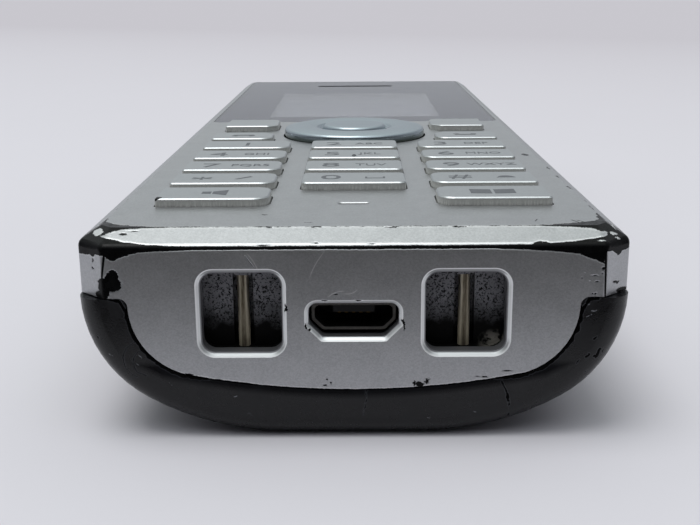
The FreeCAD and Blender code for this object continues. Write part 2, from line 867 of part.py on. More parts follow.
def microphone_wire(grow, place):
    x = microphone_slit_width / 2 + grow
    half = microphone_slit / 2 + grow
    return rectangle(-x, x, microphone_y - half, microphone_y + half, half - slit_flat, place)


def make_display_window():
    """Acrylic sheet let into the plate, flush with it, with the earpiece slit cut through."""
    sheet = slab(lambda p: window_wire(-window_fit, p), window_floor, top_z)
    return sheet.cut(slab(lambda p: earpiece_wire(0, p), window_floor, top_z))


def make_display():
    """Gasket, glass, back-light and frame, stacked from the plate down to the board."""
    glass_top = plate_under - display_gasket_thickness
    light_top = glass_top - glass_thickness - display_fit
    light_under = light_top - backlight_thickness
    border = glass_border
    wall = glass_border + display_frame_wall

    def layer(grow, z0, z1):
        return slab(lambda p: view_wire(grow, p), z0, z1)

    gasket = layer(wall - display_fit, glass_top, plate_under).cut(layer(view_margin, glass_top, plate_under))
    glass = layer(border, glass_top - glass_thickness, glass_top)
    light = layer(border - display_fit, light_under, light_top)
    frame = layer(wall, board_top, glass_top)
    frame = frame.cut(layer(border + display_fit, light_under - display_fit, glass_top))
    return {"display_gasket": gasket, "display_glass": glass, "display_backlight": light,
            "display_frame": frame}


# Sound parts

def make_sound_parts():
    mesh_under = plate_under - mesh_thickness
    foam_under = mesh_under - foam_thickness
    mesh = slab(lambda p: earpiece_wire(mesh_border, p), mesh_under, plate_under)
    foam = slab(lambda p: earpiece_wire(foam_width, p), foam_under, mesh_under)
    foam = foam.cut(slab(lambda p: earpiece_wire(0, p), foam_under, mesh_under))
    receiver = slab(lambda p: earpiece_wire(foam_width, p), foam_under - receiver_height, foam_under)

    outer = microphone_radius + boot_wall
    boot = post(0, microphone_y, board_top, plate_under, outer)
    boot = boot.cut(post(0, microphone_y, board_top, board_top + microphone_height + display_fit,
                         microphone_radius + display_fit))
    boot = boot.cut(slab(lambda p: microphone_wire(0, p), board_top, plate_under))
    microphone = post(0, microphone_y, board_top, board_top + microphone_height, microphone_radius)

    foam_floor = rear_wall + speaker_floor_gap
    speaker_under = foam_floor + speaker_foam
    ring = post(0, speaker_y, foam_floor, speaker_under, speaker_radius)
    ring = ring.cut(post(0, speaker_y, foam_floor, speaker_under, speaker_radius - speaker_foam_width))
    cloth = post(0, speaker_y, rear_wall, rear_wall + cloth_thickness,
                 speaker_radius - speaker_foam_width - part_clearance)
    basket_top = speaker_under + speaker_basket_height
    basket = post(0, speaker_y, speaker_under, basket_top, speaker_radius)
    magnet = post(0, speaker_y, basket_top, speaker_under + speaker_height,
                  speaker_radius - speaker_foam_width)
    return {"earpiece_mesh": mesh, "earpiece_foam": foam, "earpiece_receiver": receiver,
            "microphone": microphone, "microphone_boot": boot, "loudspeaker_foam": ring,
            "loudspeaker_cloth": cloth, "loudspeaker": joined([basket, magnet])}


# Board and the keypad layers on it

def board_wire(place):
    """Board outline with the narrow tab that carries the socket between the contact pockets."""
    x = half_width - front_wall - board_side_gap
    near = holder_end + part_clearance
    far = length - front_wall - board_side_gap
    tab = usb_half_width + usb_tab_side
    front = usb_recess + usb_tab_setback
    cut = facet_x
    corners = [(-x, near, 0), (-tab, near, 0), (-tab, front, 0), (tab, front, 0), (tab, near, 0),
               (x, near, 0), (x, far - cut, 0), (x - cut, far, 0), (-x + cut, far, 0), (-x, far - cut, 0)]
    return rounded_wire(corners, place)


def make_board():
    board = slab(board_wire, board_under, board_top)
    boss_room = front_boss_radius + part_clearance
    shank_room = board_screw_radius + shank_gap
    cuts = [post(x, y, board_under, board_top, boss_room) for x, y in case_screw_places]
    cuts += [post(x, y, board_under, board_top, shank_room) for x, y in board_screw_places]
    return board.cut(cuts)


def keypad_corners(margin):
    """X and Y limits of the keypad layers, which reach this far beyond the outermost keys."""
    return -key_edge_x - margin, key_edge_x + margin, row_start - margin, soft_row_back + margin


def dome_places(keys):
    places = [key_middle(key) for key in keys.values()]
    reach = centre_radius + centre_lip + centre_gap + carrier_width / 2 + rocker_width / 2
    places += [(0, nav_y), (reach, nav_y), (-reach, nav_y), (0, nav_y + reach), (0, nav_y - reach)]
    return places


def microphone_room(z0, z1):
    reach = microphone_radius + boot_wall + mat_notch_gap
    return block(-reach, reach, 0, microphone_y + reach, z0, z1)


def make_keypad_layers(keys):
    """Dome sheet on the board, and the silicone mat with a pad under each key."""
    x0, x1, y0, y1 = keypad_corners(mat_margin - key_lip)
    film_top = board_top + dome_film
    film = block(x0, x1, y0, y1, board_top, film_top).cut(microphone_room(board_top, film_top))
    domes = [Part.makeCone(dome_radius, dome_top_radius, dome_height, Vector(x, from_end(y), film_top))
             for x, y in dome_places(keys)]
    sheet = block(x0, x1, y0, y1, film_top + mat_lift, mat_top)
    rim = block(x0, x1, y0, y1, film_top, film_top + mat_lift)
    rim = rim.cut(block(x0 + mat_rim, x1 - mat_rim, y0 + mat_rim, y1 - mat_rim,
                        film_top, film_top + mat_lift))
    pad_top = key_lip_under - plunger_length - key_travel - key_play
    pads = [post(*key_middle(key), film_top + dome_height + rocker_gap, pad_top, mat_pad_radius)
            for key in keys.values()]
    pads.append(post(0, nav_y, film_top + dome_height + rocker_gap, mat_top, mat_pad_radius))
    inner = centre_radius + centre_lip + centre_gap
    for side in (-1, 1):
        near, far = sorted((nav_y + side * (inner + rocker_gap), nav_y + side * (inner + rocker_width)))
        pads.append(block(-rocker_width / 2, rocker_width / 2, near, far, mat_top - mat_thickness,
                          carrier_under - rocker_gap))
    mat = joined([sheet.fuse(rim)] + pads)
    mat = mat.cut(microphone_room(board_top, pad_top))
    return {"dome_sheet": joined([film] + domes), "keypad_mat": mat}


def make_board_parts():
    """Shield can, the chips beside it and a row of small capacitors, all under the board."""
    floor = bay_roof + part_clearance
    middle = bay_start + battery_length / 2
    y0 = middle - shield_length / 2
    y1 = middle + shield_length / 2
    x = shield_half_width
    can = block(-x, x, y0, y1, floor, board_under)
    can = can.cut(block(-x + shield_wall, x - shield_wall, y0 + shield_wall, y1 - shield_wall,
                        floor + shield_wall, board_under))
    low = board_under - chip_height
    chips = []
    for side in (-1, 1):
        beside = sorted((side * (x + chip_side_gap), side * (x + chip_side_gap + chip_width)))
        long_end = middle - long_chip_setback
        short_start = middle + short_chip_setback
        chips.append(block(*beside, long_end - long_chip_length, long_end, low, board_under))
        chips.append(block(*beside, short_start, short_start + short_chip_length, low, board_under))
        centre = side * capacitor_x
        for index in range(capacitor_count):
            far = y0 - capacitor_gap - index * capacitor_pitch
            chips.append(block(centre - capacitor_width / 2, centre + capacitor_width / 2,
                               far - capacitor_length, far, low, board_under))
    chips.append(block(-radio_chip_width / 2, radio_chip_width / 2, y0 - radio_chip_gap - radio_chip_width,
                       y0 - radio_chip_gap, low, board_under))
    return {"shield_can": can, "board_chips": Part.makeCompound(chips)}


# Charging contacts and socket

def make_charging_parts():
    """One black holder makes both pockets. Each rod spans its pocket, under a hood at the top, and has
    a leg to the board."""
    half = charge_width / 2 + pocket_wall
    blocks = [block(side * charge_x - half, side * charge_x + half, holder_face, holder_end,
                    holder_bottom, holder_top) for side in (-1, 1)]
    bridge = block(-charge_x, charge_x, holder_face, holder_end, board_top + part_clearance, holder_top)
    holder = joined(blocks + [bridge])
    rods = {}
    rod_y = holder_face + rod_setback
    rod_bottom = charge_z - charge_height / 2 - rod_seat
    for side, name in ((-1, "charge_contact_left"), (1, "charge_contact_right")):
        x = side * charge_x
        pocket = prism_along(lambda p, side=side: charge_wire(side, 0, p), holder_face, pocket_back)
        low, high = charge_z - charge_height / 2, charge_z + charge_height / 2
        groove = block(x - groove_width / 2, x + groove_width / 2, pocket_back, pocket_back + groove_depth,
                       low, high)
        hood = block(x - hood_width / 2, x + hood_width / 2, holder_face, pocket_back + groove_depth,
                     high - hood_drop, high)
        hole = post(x, rod_y, rod_bottom, holder_top, rod_radius + rod_fit)
        holder = joined([holder.cut([pocket, groove]), hood]).cut(hole)
        leg_top = holder_top + rod_fit + leg_thickness
        leg_end = holder_end + part_clearance + leg_reach
        left, right = x - leg_width / 2, x + leg_width / 2
        rod = post(x, rod_y, rod_bottom + rod_fit, leg_top, rod_radius)
        over = block(left, right, rod_y - rod_radius, leg_end, holder_top + rod_fit, leg_top)
        down = block(left, right, leg_end - leg_thickness, leg_end, board_top, leg_top)
        rods[name] = joined([rod, over, down])
    rods["contact_holder"] = holder
    return rods


def make_usb():
    """Folded metal shell, the plastic tongue near its wide side, and the contacts under it."""
    back = usb_recess + usb_length
    shell = prism_along(lambda p: usb_wire(0, p), usb_recess, back)
    shell = shell.cut(prism_along(lambda p: usb_wire(-usb_wall, p), usb_recess, back - usb_wall))
    tongue_top = usb_top - usb_tongue_drop
    tongue_under = tongue_top - usb_tongue_height
    base = prism_along(lambda p: usb_wire(-usb_wall - rod_fit, p), back - usb_base, back - usb_wall - rod_fit)
    front = usb_recess + usb_contact_inset
    tongue = block(-usb_tongue_half_width, usb_tongue_half_width, front - usb_wall,
                   back - usb_base, tongue_under, tongue_top)
    contacts = []
    for index in range(usb_contact_count):
        x = (index - (usb_contact_count - 1) / 2) * usb_contact_pitch
        contacts.append(block(x - usb_contact_width / 2, x + usb_contact_width / 2, front,
                              back - usb_base, tongue_under - usb_contact_height, tongue_under))
    return {"usb_shell": shell, "usb_tongue": joined([base, tongue]),
            "usb_contacts": Part.makeCompound(contacts)}


# Battery

def make_battery_parts():
    pack_start = bay_start + battery_side_gap
    pack_end = pack_start + battery_length
    pack = slab(lambda p: rectangle(-battery_half_width, battery_half_width, pack_start, pack_end,
                                    battery_corner, p), battery_bottom, battery_bottom + battery_thickness)
    face = bay_end - connector_depth
    connector = block(-connector_half_width, connector_half_width, face, bay_end - battery_gap,
                      battery_bottom + battery_gap, board_under)
    blades = []
    middle = battery_bottom + battery_thickness / 2
    for index in range(terminal_count):
        x = (index - (terminal_count - 1) / 2) * terminal_pitch
        blades.append(block(x - terminal_thickness / 2, x + terminal_thickness / 2, pack_end + rod_fit, face,
                            middle - terminal_height / 2, middle + terminal_height / 2))
    return {"battery_pack": pack, "battery_connector": connector,
            "battery_terminals": Part.makeCompound(blades)}


# Antenna and screws

def make_antenna():
    """Plastic carrier under the board's far end, with a folded metal track on its lower face."""
    far = length - front_wall - board_side_gap - antenna_far_gap
    near = far - antenna_length
    x = antenna_half_width
    under = board_under - antenna_height
    carrier = block(-x, x, near, far, under, board_under)
    carrier = carrier.cut(block(-x + antenna_wall, x - antenna_wall, near + antenna_wall, far - antenna_wall,
                                under + antenna_wall, board_under))
    tracks = [block(-x, x, far - antenna_track, far, under - antenna_foil, under)]
    tracks.append(block(-x, -x + antenna_track, near, far, under - antenna_foil, under))
    tracks.append(block(-x, -x + antenna_short_track, near, near + antenna_track,
                        under - antenna_foil, under))
    return {"antenna_carrier": carrier, "antenna_track": joined(tracks)}


def screw(x, y, seat, radius, shank, head_radius, head_height):
    """Pan-head screw that points up, its head below the seat, with a square driving recess."""
    body = post(x, y, seat, seat + shank, radius)
    head = post(x, y, seat - head_height, seat, head_radius)
    half = driver_recess / 2
    recess = block(x - half, x + half, y - half, y + half, seat - head_height,
                   seat - head_height + driver_recess_depth)
    return joined([body, head]).cut(recess)


def make_screws():
    case = [screw(x, y, case_screw_seat, case_screw_radius, case_screw_length, case_head_radius,
                  case_head_height) for x, y in case_screw_places]
    board = [screw(x, y, board_under, board_screw_radius, board_screw_length, board_head_radius,
                   board_head_height) for x, y in board_screw_places]
    return {"case_screws": Part.makeCompound(case), "board_screws": Part.makeCompound(board)}


# Build and save every piece

keys = key_table()
pieces = {name: make_key(key) for name, key in keys.items()}
pieces["nav_ring"] = make_nav_ring()
pieces["nav_centre"] = make_nav_centre()
pieces["nav_carrier"] = make_nav_carrier()
pieces["front_shell"] = make_front_shell(keys)
pieces["rear_shell"] = make_rear_shell()
pieces["battery_cover"] = make_battery_cover()
pieces["display_window"] = make_display_window()
pieces["main_board"] = make_board()
pieces.update(make_display())
pieces.update(make_sound_parts())
pieces.update(make_keypad_layers(keys))
pieces.update(make_board_parts())
pieces.update(make_charging_parts())
pieces.update(make_usb())
pieces.update(make_battery_parts())
pieces.update(make_antenna())
pieces.update(make_screws())

os.makedirs("parts", exist_ok=True)
for name, shape in pieces.items():
    shape.exportStep("parts/" + name + ".step")
    print(name, len(shape.Solids), "solids", round(shape.Volume, 1), "mm3", "valid", shape.isValid())
print("length", round(length, 2), "width", round(2 * half_width, 2), "thickness", round(top_z, 2))
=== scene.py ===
import math

import bmesh
import bpy
from mathutils import Matrix, Vector


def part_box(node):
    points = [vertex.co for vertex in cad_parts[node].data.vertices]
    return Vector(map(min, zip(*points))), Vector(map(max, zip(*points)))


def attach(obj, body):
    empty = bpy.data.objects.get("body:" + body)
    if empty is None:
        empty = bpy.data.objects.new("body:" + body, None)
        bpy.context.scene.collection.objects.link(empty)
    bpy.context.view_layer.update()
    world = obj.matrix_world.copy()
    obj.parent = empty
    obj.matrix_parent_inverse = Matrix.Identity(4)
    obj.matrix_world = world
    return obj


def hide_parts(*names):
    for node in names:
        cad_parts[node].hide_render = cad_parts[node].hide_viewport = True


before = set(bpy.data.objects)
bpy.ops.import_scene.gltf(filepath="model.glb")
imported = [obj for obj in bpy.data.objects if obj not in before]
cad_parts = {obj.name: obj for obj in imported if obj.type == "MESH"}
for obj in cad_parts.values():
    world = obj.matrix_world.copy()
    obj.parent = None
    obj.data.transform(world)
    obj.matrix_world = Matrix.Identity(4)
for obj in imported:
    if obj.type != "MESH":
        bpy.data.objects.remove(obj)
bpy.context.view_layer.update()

# Rear shell: the black lower half of the case, moulded in ABS with a soft satin finish.
# It wraps the silver end face. Its hull carries hairline cracks and scuffs from years in a cradle.


def linear(colour):
    """Turns an sRGB hex colour into the linear one that a socket takes."""
    parts = [int(colour[i:i + 2], 16) / 255 for i in (1, 3, 5)]
    return (*[p / 12.92 if p <= 0.04045 else ((p + 0.055) / 1.055) ** 2.4 for p in parts], 1)


def feed(tree, socket, value):
    """Links a socket to a node or an output, or sets it to a plain value or an sRGB hex colour."""
    if isinstance(value, str):
        value = linear(value)
    if isinstance(value, bpy.types.Node):
        value = next(output for output in value.outputs if output.enabled)
    if isinstance(value, bpy.types.NodeSocket):
        tree.links.new(value, socket)
    else:
        socket.default_value = value


def node(tree, kind, *values, **named):
    """Adds a node. A second word in its kind is its operation, or the data type of a Mix.
    Lower-case names are its settings, and the others are its sockets."""
    kind, *mode = kind.split()
    made = tree.nodes.new(kind if "Node" in kind else "ShaderNode" + kind)
    if mode:
        setattr(made, "data_type" if kind == "Mix" else "operation", mode[0])
    for label, value in named.items():
        if label[0].islower():
            setattr(made, label, value)
    sockets = [socket for socket in made.inputs if socket.enabled]
    for socket, value in zip(sockets, values):
        feed(tree, socket, value)
    for label, value in named.items():
        if label[0].isupper():
            feed(tree, next(s for s in sockets if s.name == label.replace("_", " ")), value)
    return made


def new_material(name, **settings):
    """Principled material with these sockets set. Gives the material, its tree and its shader."""
    made = bpy.data.materials.new(name)
    made.use_nodes = True
    tree = made.node_tree
    shader = tree.nodes["Principled BSDF"]
    for label, value in settings.items():
        feed(tree, shader.inputs[label.replace("_", " ")], value)
    return made, tree, shader


def in_mm(tree):
    """Place on the handset in millimetres."""
    return node(tree, "VectorMath SCALE", node(tree, "TexCoord").outputs["Object"], Scale=1000)


def dress(names, made):
    """Gives these solids of the part a material."""
    for name in names.split():
        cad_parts[name].material_slots[0].material = made


def inside_stroke(tree, place, start, finish, half_width):
    """How far a place lies inside a straight stroke between two points, with this half width."""
    run = Vector(finish) - Vector(start)
    offset = node(tree, "VectorMath SUBTRACT", place, tuple(start))
    share = node(tree, "VectorMath DOT_PRODUCT", offset, tuple(run / run.length_squared))
    share = node(tree, "MapRange", share)
    nearest = node(tree, "VectorMath SCALE", tuple(run), Scale=share)
    away = node(tree, "VectorMath DISTANCE", offset, nearest)
    return node(tree, "Math SUBTRACT", half_width, away)


def off_arc(tree, place, middle_x, middle_z, radius):
    """How far a place lies outside a circle, as seen from the front."""
    offset = node(tree, "VectorMath SUBTRACT", place, (middle_x, 0, middle_z))
    offset = node(tree, "VectorMath MULTIPLY", offset, (1, 0, 1))
    return node(tree, "Math SUBTRACT", node(tree, "VectorMath LENGTH", offset), radius)


def extreme(tree, operation, values):
    """The MAXIMUM or the MINIMUM of several values."""
    found = values[0]
    for value in values[1:]:
        found = node(tree, "Math " + operation, found, value)
    return found


def within(tree, *limits):
    """How far a place lies within some limits: each is a value and another that it has to exceed."""
    return extreme(tree, "MINIMUM", [node(tree, "Math SUBTRACT", *limit) for limit in limits])


# Moulded ABS, spark-eroded tool: near-black with a broken satin sheen, darker in its hairline cracks.
hull_black = "#08080b"
# its lighter tone marks the lips of the cuts: a painted highlight
lip_highlight_tone = "#46484d"
# Cracks, pits and cuts: the two ends, X, Y and Z, and half the width
hull_cuts = [((13.15, -72.5, 5.4), (13.5, -72.5, 4.5), 0.07), ((13.5, -72.5, 4.5), (13.77, -72.5, 3.5), 0.1),
    ((13.77, -72.5, 3.5), (13.82, -72.0, 1.9), 0.08), ((1.14, -72.5, 4.6), (1.05, -72.5, 3.5), 0.05),
    ((1.05, -72.5, 3.5), (0.75, -72.4, 2.2), 0.045), ((21.6, -72.35, 8.35), (21.35, -72.4, 7.6), 0.15),
    ((21.35, -72.4, 7.6), (21.1, -72.4, 7.75), 0.11), ((21.95, -72.2, 8.4), (21.85, -72.2, 7.95), 0.08),
    ((20.65, -72.5, 7.95), (20.4, -72.5, 7.7), 0.08), ((21.3, -72.5, 9.45), (20.95, -72.5, 9.3), 0.07),
    ((19.85, -72.5, 7.35), (19.65, -72.5, 7.05), 0.05), ((20.75, -72.2, 6.35), (20.4, -72.3, 6.15), 0.05),
    ((-22.55, -72.2, 9.6), (-22.35, -72.2, 9.4), 0.09), ((-23.6, -71.2, 12.1), (-23.2, -71.6, 11.4), 0.08),
    ((-21.1, -72.4, 7.0), (-20.8, -72.4, 6.5), 0.06), ((-9.4, -72.4, 2.4), (-9.1, -72.4, 2.1), 0.06)]
# Worn light specks, written in the same way
hull_nicks = [((20.25, -72.5, 12.55), (20.45, -72.5, 12.5), 0.09),
    ((20.7, -72.5, 11.9), (21.5, -72.4, 12.2), 0.05), ((20.3, -72.5, 11.45), (20.7, -72.5, 11.5), 0.04),
    ((10.65, -72.4, 2.6), (10.95, -72.4, 2.5), 0.07), ((6.55, -72.4, 1.9), (6.7, -72.4, 1.9), 0.06),
    ((-21.6, -72.3, 8.1), (-21.3, -72.3, 7.9), 0.04), ((-10.7, -72.5, 4.0), (-10.5, -72.5, 4.1), 0.05),
    ((-16.4, -72.5, 5.4), (-16.2, -72.5, 5.2), 0.06), ((-19.3, -72.5, 7.3), (-19.0, -72.5, 7.0), 0.04),
    ((-19.0, -72.5, 8.0), (-18.8, -72.5, 7.7), 0.035)]
# Scratches that a cradle left: X and Z of the middle of the arc, its radius,
# and the two X between which it shows
hull_arcs = [(-18.6, 7.6, 1.75, -20.5, -19.2), (-18.3, 7.3, 1.2, -19.6, -18.4)]

# The seam with the end face is an arc: the height of its middle, and its radius
sweep_z = 80.7
sweep_radius = 75.95
# Arcs at the lower corners of the end face: X and Z of the middle, and the radius of the painted shade line
# along them
corner_arc = (13.2, 12.47, 6.68)
# Painted shade along its shoulders, where the hull meets the end face, written like the cuts
shoulder_shade = [((21.2, -72.5, 13.1), (20.4, -72.5, 12.95), 0.16),
    ((20.4, -72.5, 12.95), (20.02, -72.5, 12.2), 0.16)]

black_abs, tree, shader = new_material("moulded_black_abs")
place = in_mm(tree)
# grain of the tool, drawn at 0.16 mm so that it shows
grain = node(tree, "TexNoise", place, Scale=6.0, Detail=3.0, Roughness=0.6)
# handling marks, a few mm across
rub = node(tree, "TexNoise", place, Scale=0.35, Detail=6.0, Roughness=0.65, Distortion=0.6)
# strokes wander by about 0.1 mm
wander = node(tree, "TexNoise", place, Scale=1.6, Detail=3.0).outputs["Color"]
wander = node(tree, "VectorMath SUBTRACT", wander, (0.5, 0.5, 0.5))
wander = node(tree, "VectorMath MULTIPLY_ADD", wander, (0.5, 0.5, 0.5), place)
cracks_and_joint_shade, nicks = [extreme(tree, "MAXIMUM", [inside_stroke(tree, wander, *stroke) for stroke in strokes])
    for strokes in (hull_cuts, hull_nicks)]
x, y, z = node(tree, "SeparateXYZ", place).outputs
for arc_x, arc_z, radius, from_x, to_x in hull_arcs:
    ring = node(tree, "Math ABSOLUTE", off_arc(tree, wander, arc_x, arc_z, radius))
    cracks_and_joint_shade = node(tree, "Math MAXIMUM", cracks_and_joint_shade, within(tree, (0.03, ring), (x, from_x), (to_x, x), (-71.5, y)))
# painted shade against both sides of the end face's tongue, drawn near-black like the cracks: along its
# shoulders and down its corner arcs
folded = node(tree, "VectorMath MULTIPLY", wander, (1, 0, 0))
folded = node(tree, "VectorMath ADD", node(tree, "VectorMath ABSOLUTE", folded),
    node(tree, "VectorMath MULTIPLY", wander, (0, 1, 1)))
joint_shade = node(tree, "Math ABSOLUTE", off_arc(tree, folded, *corner_arc))
joint_shade = within(tree, (0.17, joint_shade), (12.3, z), (-71.5, y))
joint_shade = extreme(tree, "MAXIMUM", [joint_shade] + [inside_stroke(tree, folded, *stroke) for stroke in shoulder_shade])
cracks_and_joint_shade = node(tree, "Math MAXIMUM", cracks_and_joint_shade, joint_shade)
crack_and_joint_shade = node(tree, "MapRange", cracks_and_joint_shade, From_Min=-0.02, From_Max=0.02)
# the lip of each cut is pushed up, and is painted lighter where it catches the light: a painted highlight
lip = node(tree, "MapRange", cracks_and_joint_shade, From_Min=-0.09, From_Max=-0.03)
nick = node(tree, "MapRange", nicks, From_Min=-0.02, From_Max=0.02)
tone = node(tree, "Mix RGBA", node(tree, "MapRange", rub, From_Min=0.45, From_Max=0.75), hull_black, "#121316")
tone = node(tree, "Mix RGBA", node(tree, "Math MULTIPLY", lip, 0.35), tone, lip_highlight_tone)
tone = node(tree, "Mix RGBA", nick, tone, "#6e7075")
# cracks, and the painted shade along the joint with the end face, are near-black
tone = node(tree, "Mix RGBA", crack_and_joint_shade, tone, "#010101")
feed(tree, shader.inputs["Base Color"], tone)
# along the seam with the end face, an arc, the sheen is turned down: a painted shade band
seam = off_arc(tree, place, 0, sweep_z, sweep_radius)
seam = node(tree, "Math ABSOLUTE", node(tree, "Math SUBTRACT", seam, 0.1))
ends = node(tree, "MapRange", node(tree, "Math ABSOLUTE", x), From_Min=17.0, From_Max=20.5)
ends = node(tree, "Math MAXIMUM", ends, node(tree, "Math GREATER_THAN", y, -70.0))
seam = node(tree, "MapRange", node(tree, "Math ADD", seam, ends), From_Min=0.3, From_Max=0.9, To_Min=0.06,
    To_Max=0.36)
feed(tree, shader.inputs["Specular IOR Level"], node(tree, "Mix", crack_and_joint_shade, seam, 0.04))
feed(tree, shader.inputs["Roughness"], node(tree, "MapRange", rub, From_Min=0.3, From_Max=0.7, To_Min=0.16,
    To_Max=0.42))
height = node(tree, "Math ADD", grain, node(tree, "Math MULTIPLY", crack_and_joint_shade, -2.0))
feed(tree, shader.inputs["Normal"], node(tree, "Bump", Strength=0.3, Distance=0.00004, Height=height))
dress("rear_shell", black_abs)


# Loudspeaker: a pressed steel can with its foam ring and a woven cloth over the holes in the back.
# The can drops into a moulded rib and the foam presses it against the shell.


def two_tone(tree, shader, mask, tones, rough=None):
    """Mixes two colours by a mask and, where they are given, two values of the roughness."""
    feed(tree, shader.inputs["Base Color"], node(tree, "Mix RGBA", mask, *tones))
    if rough:
        feed(tree, shader.inputs["Roughness"], node(tree, "MapRange", mask, To_Min=rough[0], To_Max=rough[1]))


def cloudy(name, scale, detail, tones, rough=None, coarse=0.5, **settings):
    """Material that drifts between two tones in clouds of this scale, counted in clouds per mm."""
    made, tree, shader = new_material(name, **settings)
    clouds = node(tree, "TexNoise", in_mm(tree), Scale=scale, Detail=detail, Roughness=coarse)
    two_tone(tree, shader, clouds, tones, rough)
    return made


sound_unit = cloudy("pressed_steel_can", 1.4, 4.0, ("#8d8e90", "#a9aaab"), (0.28, 0.45), Metallic=1.0)
dress("loudspeaker earpiece_receiver microphone", sound_unit)

# Open-cell foam: soft black with cells drawn at 0.3 mm.
foam, tree, shader = new_material("black_foam", Roughness=0.95)
cells = node(tree, "TexVoronoi", in_mm(tree), Scale=3.3)
two_tone(tree, shader, cells, ("#0d0d0d", "#242424"))
feed(tree, shader.inputs["Normal"], node(tree, "Bump", Strength=0.5, Distance=0.0001, Height=cells))
dress("loudspeaker_foam earpiece_foam display_gasket", foam)

# Woven polyester: threads 0.12 mm apart, drawn at 0.2 mm so that they show through the holes.
# One turn of a sine for each thread, in radians per mm
thread_turn = 31.4
cloth, tree, shader = new_material("woven_polyester", Roughness=0.85)
across, along, _ = node(tree, "SeparateXYZ", in_mm(tree)).outputs
warp, weft = [node(tree, "Math SINE", node(tree, "Math MULTIPLY", axis, thread_turn))
    for axis in (across, along)]
weave = node(tree, "MapRange", node(tree, "Math MULTIPLY", warp, weft), From_Min=-1.0, From_Max=1.0)
two_tone(tree, shader, weave, ("#101010", "#2c2c2c"))
feed(tree, shader.inputs["Normal"], node(tree, "Bump", Strength=0.6, Distance=0.00005, Height=weave))
dress("loudspeaker_cloth", cloth)


# Battery: a lithium-ion cell in a plain film wrap, against the sprung terminals of its connector.
# The wrap is heat-shrunk film, so it creases lightly and closes in one lengthwise seam.
battery_can, tree, shader = new_material("shrunk_battery_film", Roughness=0.32)
place = in_mm(tree)
across, along, _ = node(tree, "SeparateXYZ", place).outputs
crease = node(tree, "TexNoise", node(tree, "Mapping", place, Scale=(0.9, 0.12, 0.9)), Scale=1.0, Detail=5.0)
seam = node(tree, "MapRange", node(tree, "Math ABSOLUTE", node(tree, "Math SUBTRACT", across, 9.0)),
    From_Min=0.05, From_Max=0.35, To_Min=1.0, To_Max=0.0)
feed(tree, shader.inputs["Base Color"], node(tree, "Mix RGBA", seam,
    node(tree, "Mix RGBA", crease, "#3f464f", "#4b535d"), "#2c3137"))
feed(tree, shader.inputs["Normal"], node(tree, "Bump", Strength=0.4, Distance=0.0001,
    Height=node(tree, "Math ADD", crease, seam)))
dress("battery_pack", battery_can)

# Gold flash over spring bronze: warm and smooth, duller where the pins rub.
gold = cloudy("gold_flash_on_bronze", 2.5, 3.0, ("#c39a4a", "#e2bd6c"), (0.2, 0.4), Metallic=1.0)
dress("battery_terminals antenna_track", gold)


# Battery cover: the same black ABS as the rear shell, moulded as one panel.
# Two hooks hold its far end, and a thumb scoop opens its free end.
cover_abs = black_abs.copy()
cover_abs.name = "moulded_black_abs_cover"
dress("battery_cover", cover_abs)


# Main board: glass-epoxy board under green solder mask, with its chips, its shield can and four screws.
# It lies flat on the bosses of the rear shell, and the keypad layers lie on it.
board, tree, shader = new_material("green_solder_mask", Roughness=0.35)
place = in_mm(tree)
# copper tracks under the mask, 0.2 mm wide and 0.7 mm apart
tracks = node(tree, "TexBrick", place, Scale=0.5, Mortar_Size=0.05, Mortar_Smooth=0.3, Brick_Width=0.9,
    Row_Height=0.35, Color1=(0, 0, 0, 1), Color2=(0, 0, 0, 1), Mortar=(1, 1, 1, 1))
track = tracks.outputs["Fac"]
two_tone(tree, shader, track, ("#0f4a2b", "#1c6b3d"))
feed(tree, shader.inputs["Normal"], node(tree, "Bump", Strength=0.3, Distance=0.00004, Height=track))
dress("main_board", board)

# Moulded epoxy: matt charcoal with a fine grain.
resin = cloudy("moulded_epoxy", 9.0, 2.0, ("#16171a", "#24262a"), Roughness=0.6)
dress("board_chips", resin)

# Tin-plated steel: soft grey with cloudy patches.
tinned = cloudy("tin_plated_steel", 1.1, 5.0, ("#8f908f", "#b0b1b0"), (0.25, 0.5), Metallic=1.0)
dress("shield_can", tinned)

# Black zinc on steel, turned and rolled: dark and finely speckled.
screw_steel = cloudy("black_zinc_steel", 7.0, 3.0, ("#2a2a2c", "#4a4b4d"), (0.3, 0.5), Metallic=1.0)
dress("board_screws case_screws", screw_steel)


# Antenna: a bronze track on a white polycarbonate carrier at the far end.
# The carrier plugs onto the board, and the track's foot presses on its pad.
white = cloudy("white_polycarbonate", 0.5, 3.0, ("#d8d8d4", "#e6e6e2"), Roughness=0.45)
dress("antenna_carrier display_frame", white)


# Charging contacts: two upright rods of nickel-plated brass in the pockets of a black nylon holder.
# Each rod snaps into its groove, and its leg reaches back to the board.
holder_black = "#0c0c0c"
holder_grey = "#6c6c70"
holder_dust = "#86827a"
holder, tree, shader = new_material("glass_filled_nylon", Roughness=0.55)
place = in_mm(tree)
z = node(tree, "SeparateXYZ", place).outputs["Z"]
# grit in the moulding and dirt on the walls, 0.1 to 0.3 mm
grit = node(tree, "TexNoise", place, Scale=5.0, Detail=4.0, Roughness=0.75)
# the upper half of each pocket has gone grey, with black pits; the lower half is black
faded = node(tree, "MapRange", node(tree, "Math MULTIPLY_ADD",
    node(tree, "TexNoise", place, Scale=0.7), 3.0, z), From_Min=11.4, From_Max=14.4)
pits = node(tree, "MapRange", grit, From_Min=0.42, From_Max=0.5)
pits = node(tree, "Math MULTIPLY", faded, pits)
tone = node(tree, "Mix RGBA", pits, holder_black, holder_grey)
